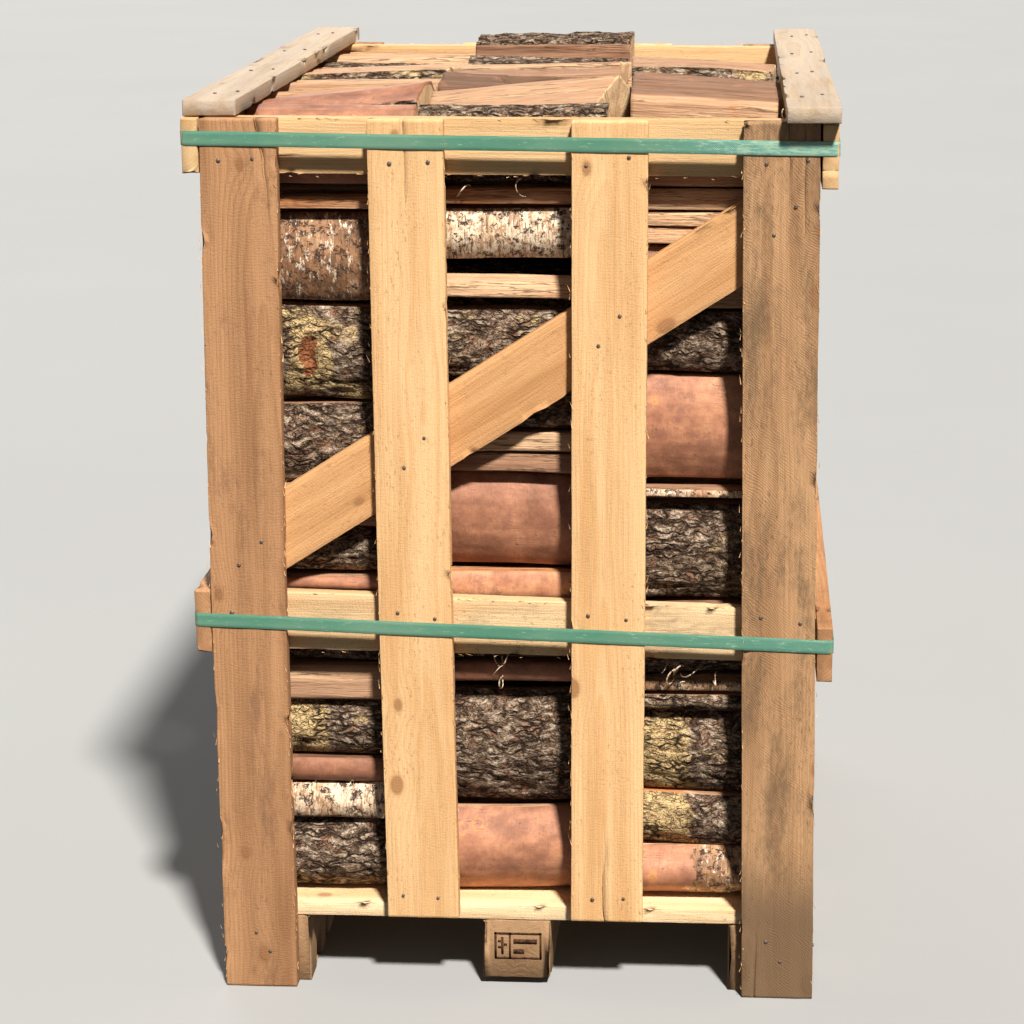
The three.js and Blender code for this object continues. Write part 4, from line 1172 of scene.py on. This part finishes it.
for side, way_x in (("left", -1), ("right", 1)):
    for level in ("top", "middle"):
        low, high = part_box(f"{side}_side_{level}_rail")
        for number in range(1, 5):
            slat_low, slat_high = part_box(f"{side}_side_slat_{number}")
            y, face_x = (slat_low.y + slat_high.y) / 2, low.x if way_x < 0 else high.x
            nail_pair((face_x, y, (low.z + high.z) / 2 - 0.010), (0, 0.024, 0.012), (way_x, 0, 0))
    for number in range(1, 5):
        slat_low, slat_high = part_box(f"{side}_side_slat_{number}")
        corners = np.array([v.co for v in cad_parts[f"{side}_side_slat_{number}"].data.vertices])
        foot = corners[corners[:, 2] < corners[:, 2].min() + 0.02][:, 0]
        face_x = foot.min() if way_x < 0 else foot.max()
        y = (slat_low.y + slat_high.y) / 2
        nail_pair((face_x, y, 0.055), (0, 0.024, 0.006), (way_x, 0, 0))
        cap_low, cap_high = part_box(f"cap_{side}")
        nail_pair(((cap_low.x + cap_high.x) / 2, y, cap_high.z), (0.012, 0.010, 0), (0, 0, 1))

nail_tree, given, made = node_group("nail_heads", ("Head radius", "NodeSocketFloat"),
                                    ("Seed", "NodeSocketInt"), ("Finish", "NodeSocketMaterial"))
dome = node(nail_tree, "GeometryNodeMeshUVSphere", {"Segments": 10, "Rings": 5})
nail_tree.links.new(given.outputs["Head radius"], dome.inputs["Radius"])
flat_dome = node(nail_tree, "GeometryNodeTransform", {"Geometry": dome.outputs["Mesh"],
                 "Scale": (1, 1, 0.42)})
way_out = node(nail_tree, "GeometryNodeInputNamedAttribute", {"Name": "way"}, data_type="FLOAT_VECTOR")
facing = node(nail_tree, "FunctionNodeAlignRotationToVector", {"Vector": way_out.outputs[0]}, axis="Z")
size = node(nail_tree, "FunctionNodeRandomValue", {2: 0.8, 3: 1.1, "Seed": given.outputs["Seed"]})
heads = node(nail_tree, "GeometryNodeInstanceOnPoints", {
    "Points": given.outputs["Geometry"], "Instance": flat_dome.outputs[0],
    "Rotation": facing.outputs[0], "Scale": size.outputs[1]})
real_heads = node(nail_tree, "GeometryNodeRealizeInstances", {0: heads.outputs[0]})
steel_heads = node(nail_tree, "GeometryNodeSetMaterial", {
    "Geometry": real_heads.outputs[0], "Material": given.outputs["Finish"]})
nail_tree.links.new(steel_heads.outputs[0], made.inputs[0])
steel = nail_steel()
nails = grown("nails", spots_mesh("nail_spots", nail_spots, nail_ways), nail_tree,
              {"Head radius": 0.0029, "Seed": 4, "Finish": steel}, steel)
nails.data.shade_smooth()
on_crate(nails, "nail_steel")


# Treatment mark: a plain frame with a divider and bars, burned a hair into the front end of the
# middle bearer. The char is a thin crust of the wood itself.
def char():
    material, tree, surface = shader("char", 0.9, 0.1)
    where = node(tree, "ShaderNodeTexCoord").outputs["Object"]
    patch = cloud(tree, where, 260, 4, 0.7)
    colour = blend(tree, span(tree, patch, 0.38, 0.66), (0.030, 0.014, 0.009), (0.115, 0.050, 0.024))
    tree.links.new(colour, surface.inputs["Base Color"])
    relief(tree, surface, patch, 0.0004)
    return material


mark_low, mark_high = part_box("bearer_centre")
mark_bars = [(-0.033, -0.020, 0.066, 0.0032), (-0.033, 0.0168, 0.066, 0.0032),
             (-0.033, -0.020, 0.0032, 0.040), (0.0298, -0.020, 0.0032, 0.040),
             (-0.0125, -0.020, 0.0028, 0.040), (-0.0236, -0.013, 0.0036, 0.026),
             (-0.0281, -0.004, 0.0045, 0.0034), (-0.0196, 0.000, 0.0045, 0.0034),
             (-0.0281, 0.005, 0.0045, 0.0034), (-0.0065, 0.003, 0.0330, 0.0070),
             (-0.0065, -0.012, 0.0150, 0.0070)]
mark_points, mark_faces = [], []
mark_middle = ((mark_low.x + mark_high.x) / 2 + 0.002, 0.060)
for left, bottom, wide, tall in mark_bars:
    across = np.linspace(0, wide, max(2, round(wide / 0.0022)))
    rim = [(u, 0) for u in across] + [(u, tall) for u in across[::-1]]
    first = len(mark_points)
    for depth in (0.0012, -0.00035):
        for u, v in rim:
            ragged = 0.0007 * (noise_at([(u + left) * 900, (v + bottom) * 900, depth], 7) - 0.5)
            mark_points.append((mark_middle[0] + left + u + ragged, mark_low.y + depth,
                                mark_middle[1] + bottom + v + ragged))
    count = len(rim)
    for k in range(count):
        after = (k + 1) % count
        mark_faces.append((first + k, first + after, first + count + after, first + count + k))
    mark_faces.append([first + count + k for k in range(count)])
    mark_faces.append([first + k for k in reversed(range(count))])
mark = wooden_piece("burned_mark", np.array(mark_points), mark_faces, [char()], None,
                    np.array(mark_points), np.zeros(len(mark_points)))
on_crate(mark, "bearer_pine")


# Splinters: sawing and handling leave short slivers and fuzz along the boards' edges. Geometry
# nodes stand them on lines drawn along the edges of the panels' boards.
def finish_loose_bits(tree, given, made, strewn, tone):
    """The end of a tree: real geometry, the grain and tone that wood finishes read, its finish."""
    real = node(tree, "GeometryNodeRealizeInstances", {0: strewn.outputs[0]})
    place = node(tree, "GeometryNodeInputPosition")
    with_grain = node(tree, "GeometryNodeStoreNamedAttribute", {
        "Geometry": real.outputs[0], "Name": "grain", "Value": place.outputs[0]},
        data_type="FLOAT_VECTOR", domain="POINT")
    with_tone = node(tree, "GeometryNodeStoreNamedAttribute", {
        "Geometry": with_grain.outputs[0], "Name": "tone", "Value": tone}, data_type="FLOAT", domain="POINT")
    finished = node(tree, "GeometryNodeSetMaterial", {
        "Geometry": with_tone.outputs[0], "Material": given.outputs["Finish"]})
    tree.links.new(finished.outputs[0], made.inputs[0])


sliver_ends, sliver_lines = [], []
for panel in ("front", "back"):
    for board in ("post_left", "slat_left", "slat_right", "post_right", "top_rail", "middle_rail"):
        corners = np.array([v.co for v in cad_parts[f"{panel}_{board}"].data.vertices])
        length_axis = int(np.argmax(np.ptp(corners, axis=0)))
        marks, lows, highs = outline_along(corners[:, (length_axis, 2 - length_axis, 1)])
        face_y = corners[:, 1].min() if panel == "front" else corners[:, 1].max()
        for edge in (lows, highs):
            for k in range(len(marks) - 1):
                for end in (k, k + 1):
                    spot = [0.0, face_y, 0.0]
                    inside = np.clip(marks[end], marks[0] + 0.014, marks[-1] - 0.014)
                    spot[length_axis], spot[2 - length_axis] = inside, edge[end][0]
                    sliver_ends.append(spot)
                sliver_lines.append((len(sliver_ends) - 2, len(sliver_ends) - 1))
sliver_tree, given, made = node_group("slivers", ("Spacing", "NodeSocketFloat"),
                                      ("Length", "NodeSocketFloat"), ("Seed", "NodeSocketInt"),
                                      ("Finish", "NodeSocketMaterial"))
lines = node(sliver_tree, "GeometryNodeMeshToCurve", {"Mesh": given.outputs["Geometry"]})
stands = node(sliver_tree, "GeometryNodeCurveToPoints", {"Curve": lines.outputs[0],
              "Length": given.outputs["Spacing"]}, mode="LENGTH")
jitter = node(sliver_tree, "FunctionNodeRandomValue", {0: (-0.003, -0.001, -0.003),
              1: (0.003, 0.001, 0.003), "Seed": given.outputs["Seed"]}, data_type="FLOAT_VECTOR")
moved = node(sliver_tree, "GeometryNodeSetPosition", {"Geometry": stands.outputs[0],
             "Offset": jitter.outputs[0]})
chosen = node(sliver_tree, "FunctionNodeRandomValue", {"Probability": 0.42,
              "Seed": given.outputs["Seed"]}, data_type="BOOLEAN")
sliver = node(sliver_tree, "GeometryNodeMeshCone", {"Vertices": 4, "Side Segments": 2,
              "Radius Bottom": 0.0006, "Depth": given.outputs["Length"]}, fill_type="TRIANGLE_FAN")
lean = node(sliver_tree, "FunctionNodeRandomValue", {0: (-0.35, -0.35, 0.0), 1: (0.35, 0.35, 6.28),
            "Seed": given.outputs["Seed"]}, data_type="FLOAT_VECTOR")
turned = node(sliver_tree, "FunctionNodeRotateRotation", {0: stands.outputs["Rotation"],
              1: lean.outputs[0]}, rotation_space="LOCAL")
size = node(sliver_tree, "FunctionNodeRandomValue", {0: (0.6, 0.6, 0.35), 1: (1.3, 1.3, 1.25),
            "Seed": given.outputs["Seed"]}, data_type="FLOAT_VECTOR")
stood = node(sliver_tree, "GeometryNodeInstanceOnPoints", {
    "Points": moved.outputs[0], "Selection": chosen.outputs[3], "Instance": sliver.outputs[0],
    "Rotation": turned.outputs[0], "Scale": size.outputs[0]})
finish_loose_bits(sliver_tree, given, made, stood, tone=0.62)
sliver_mesh = bpy.data.meshes.new("board_edges")
sliver_mesh.from_pydata(sliver_ends, sliver_lines, [])
slivers = grown("slivers", sliver_mesh, sliver_tree,
                {"Spacing": 0.012, "Length": 0.011, "Seed": 11, "Finish": fresh_pine}, fresh_pine)
on_crate(slivers, "fresh_pine")


# Bark shavings: papery curls of birch bark caught between the logs and under the rails, thin
# ribbons rolled up by drying. Geometry nodes wind each one where it lies.
curl_spots = [(-0.030, -0.462, 0.478), (-0.026, -0.465, 0.462), (-0.029, -0.463, 0.446),
              (-0.022, -0.464, 0.484), (0.198, -0.462, 0.470), (0.206, -0.464, 0.462),
              (0.213, -0.463, 0.472), (0.232, -0.461, 0.470), (0.262, -0.461, 0.452),
              (0.222, -0.460, 0.443), (-0.072, -0.457, 1.121), (0.012, -0.459, 1.124),
              (-0.290, -0.458, 0.284), (-0.235, -0.460, 0.287), (0.276, -0.461, 0.190),
              (0.352, -0.420, 1.215), (0.357, -0.360, 1.218), (0.349, -0.452, 1.217)]
curl_ways = [(1.0, -0.3, 0.2), (1.0, 0.1, -0.2), (0.8, -0.5, 0.5)] * 6
curl_tree, given, made = node_group("bark_curls", ("Width", "NodeSocketFloat"),
                                    ("Seed", "NodeSocketInt"), ("Finish", "NodeSocketMaterial"))
roll = node(curl_tree, "GeometryNodeCurveSpiral", {"Resolution": 16, "Rotations": 0.62,
            "Start Radius": 0.0150, "End Radius": 0.0060, "Height": 0.014})
strip = node(curl_tree, "GeometryNodeCurvePrimitiveQuadrilateral", {"Width": 0.0004,
             "Height": given.outputs["Width"]})
ribbon = node(curl_tree, "GeometryNodeCurveToMesh", {"Curve": roll.outputs[0],
              "Profile Curve": strip.outputs[0], "Fill Caps": True})
way_out = node(curl_tree, "GeometryNodeInputNamedAttribute", {"Name": "way"}, data_type="FLOAT_VECTOR")
facing = node(curl_tree, "FunctionNodeAlignRotationToVector", {"Vector": way_out.outputs[0]}, axis="Z")
spin = node(curl_tree, "FunctionNodeRandomValue", {0: (-0.5, -0.5, -0.8), 1: (0.5, 0.5, 0.8),
            "Seed": given.outputs["Seed"]}, data_type="FLOAT_VECTOR")
turned = node(curl_tree, "FunctionNodeRotateRotation", {0: facing.outputs[0], 1: spin.outputs[0]},
              rotation_space="LOCAL")
size = node(curl_tree, "FunctionNodeRandomValue", {0: (0.3, 0.4, 0.3), 1: (1.3, 1.5, 1.2),
            "Seed": given.outputs["Seed"]}, data_type="FLOAT_VECTOR")
wound = node(curl_tree, "GeometryNodeInstanceOnPoints", {
    "Points": given.outputs["Geometry"], "Instance": ribbon.outputs[0],
    "Rotation": turned.outputs[0], "Scale": size.outputs[0]})
finish_loose_bits(curl_tree, given, made, wound, tone=0.1)
curls = grown("bark_curls", spots_mesh("curl_spots", curl_spots, curl_ways), curl_tree,
              {"Width": 0.0018, "Seed": 2, "Finish": log_finishes[WHITE]}, log_finishes[WHITE])
on_crate(curls, "birch_bark")
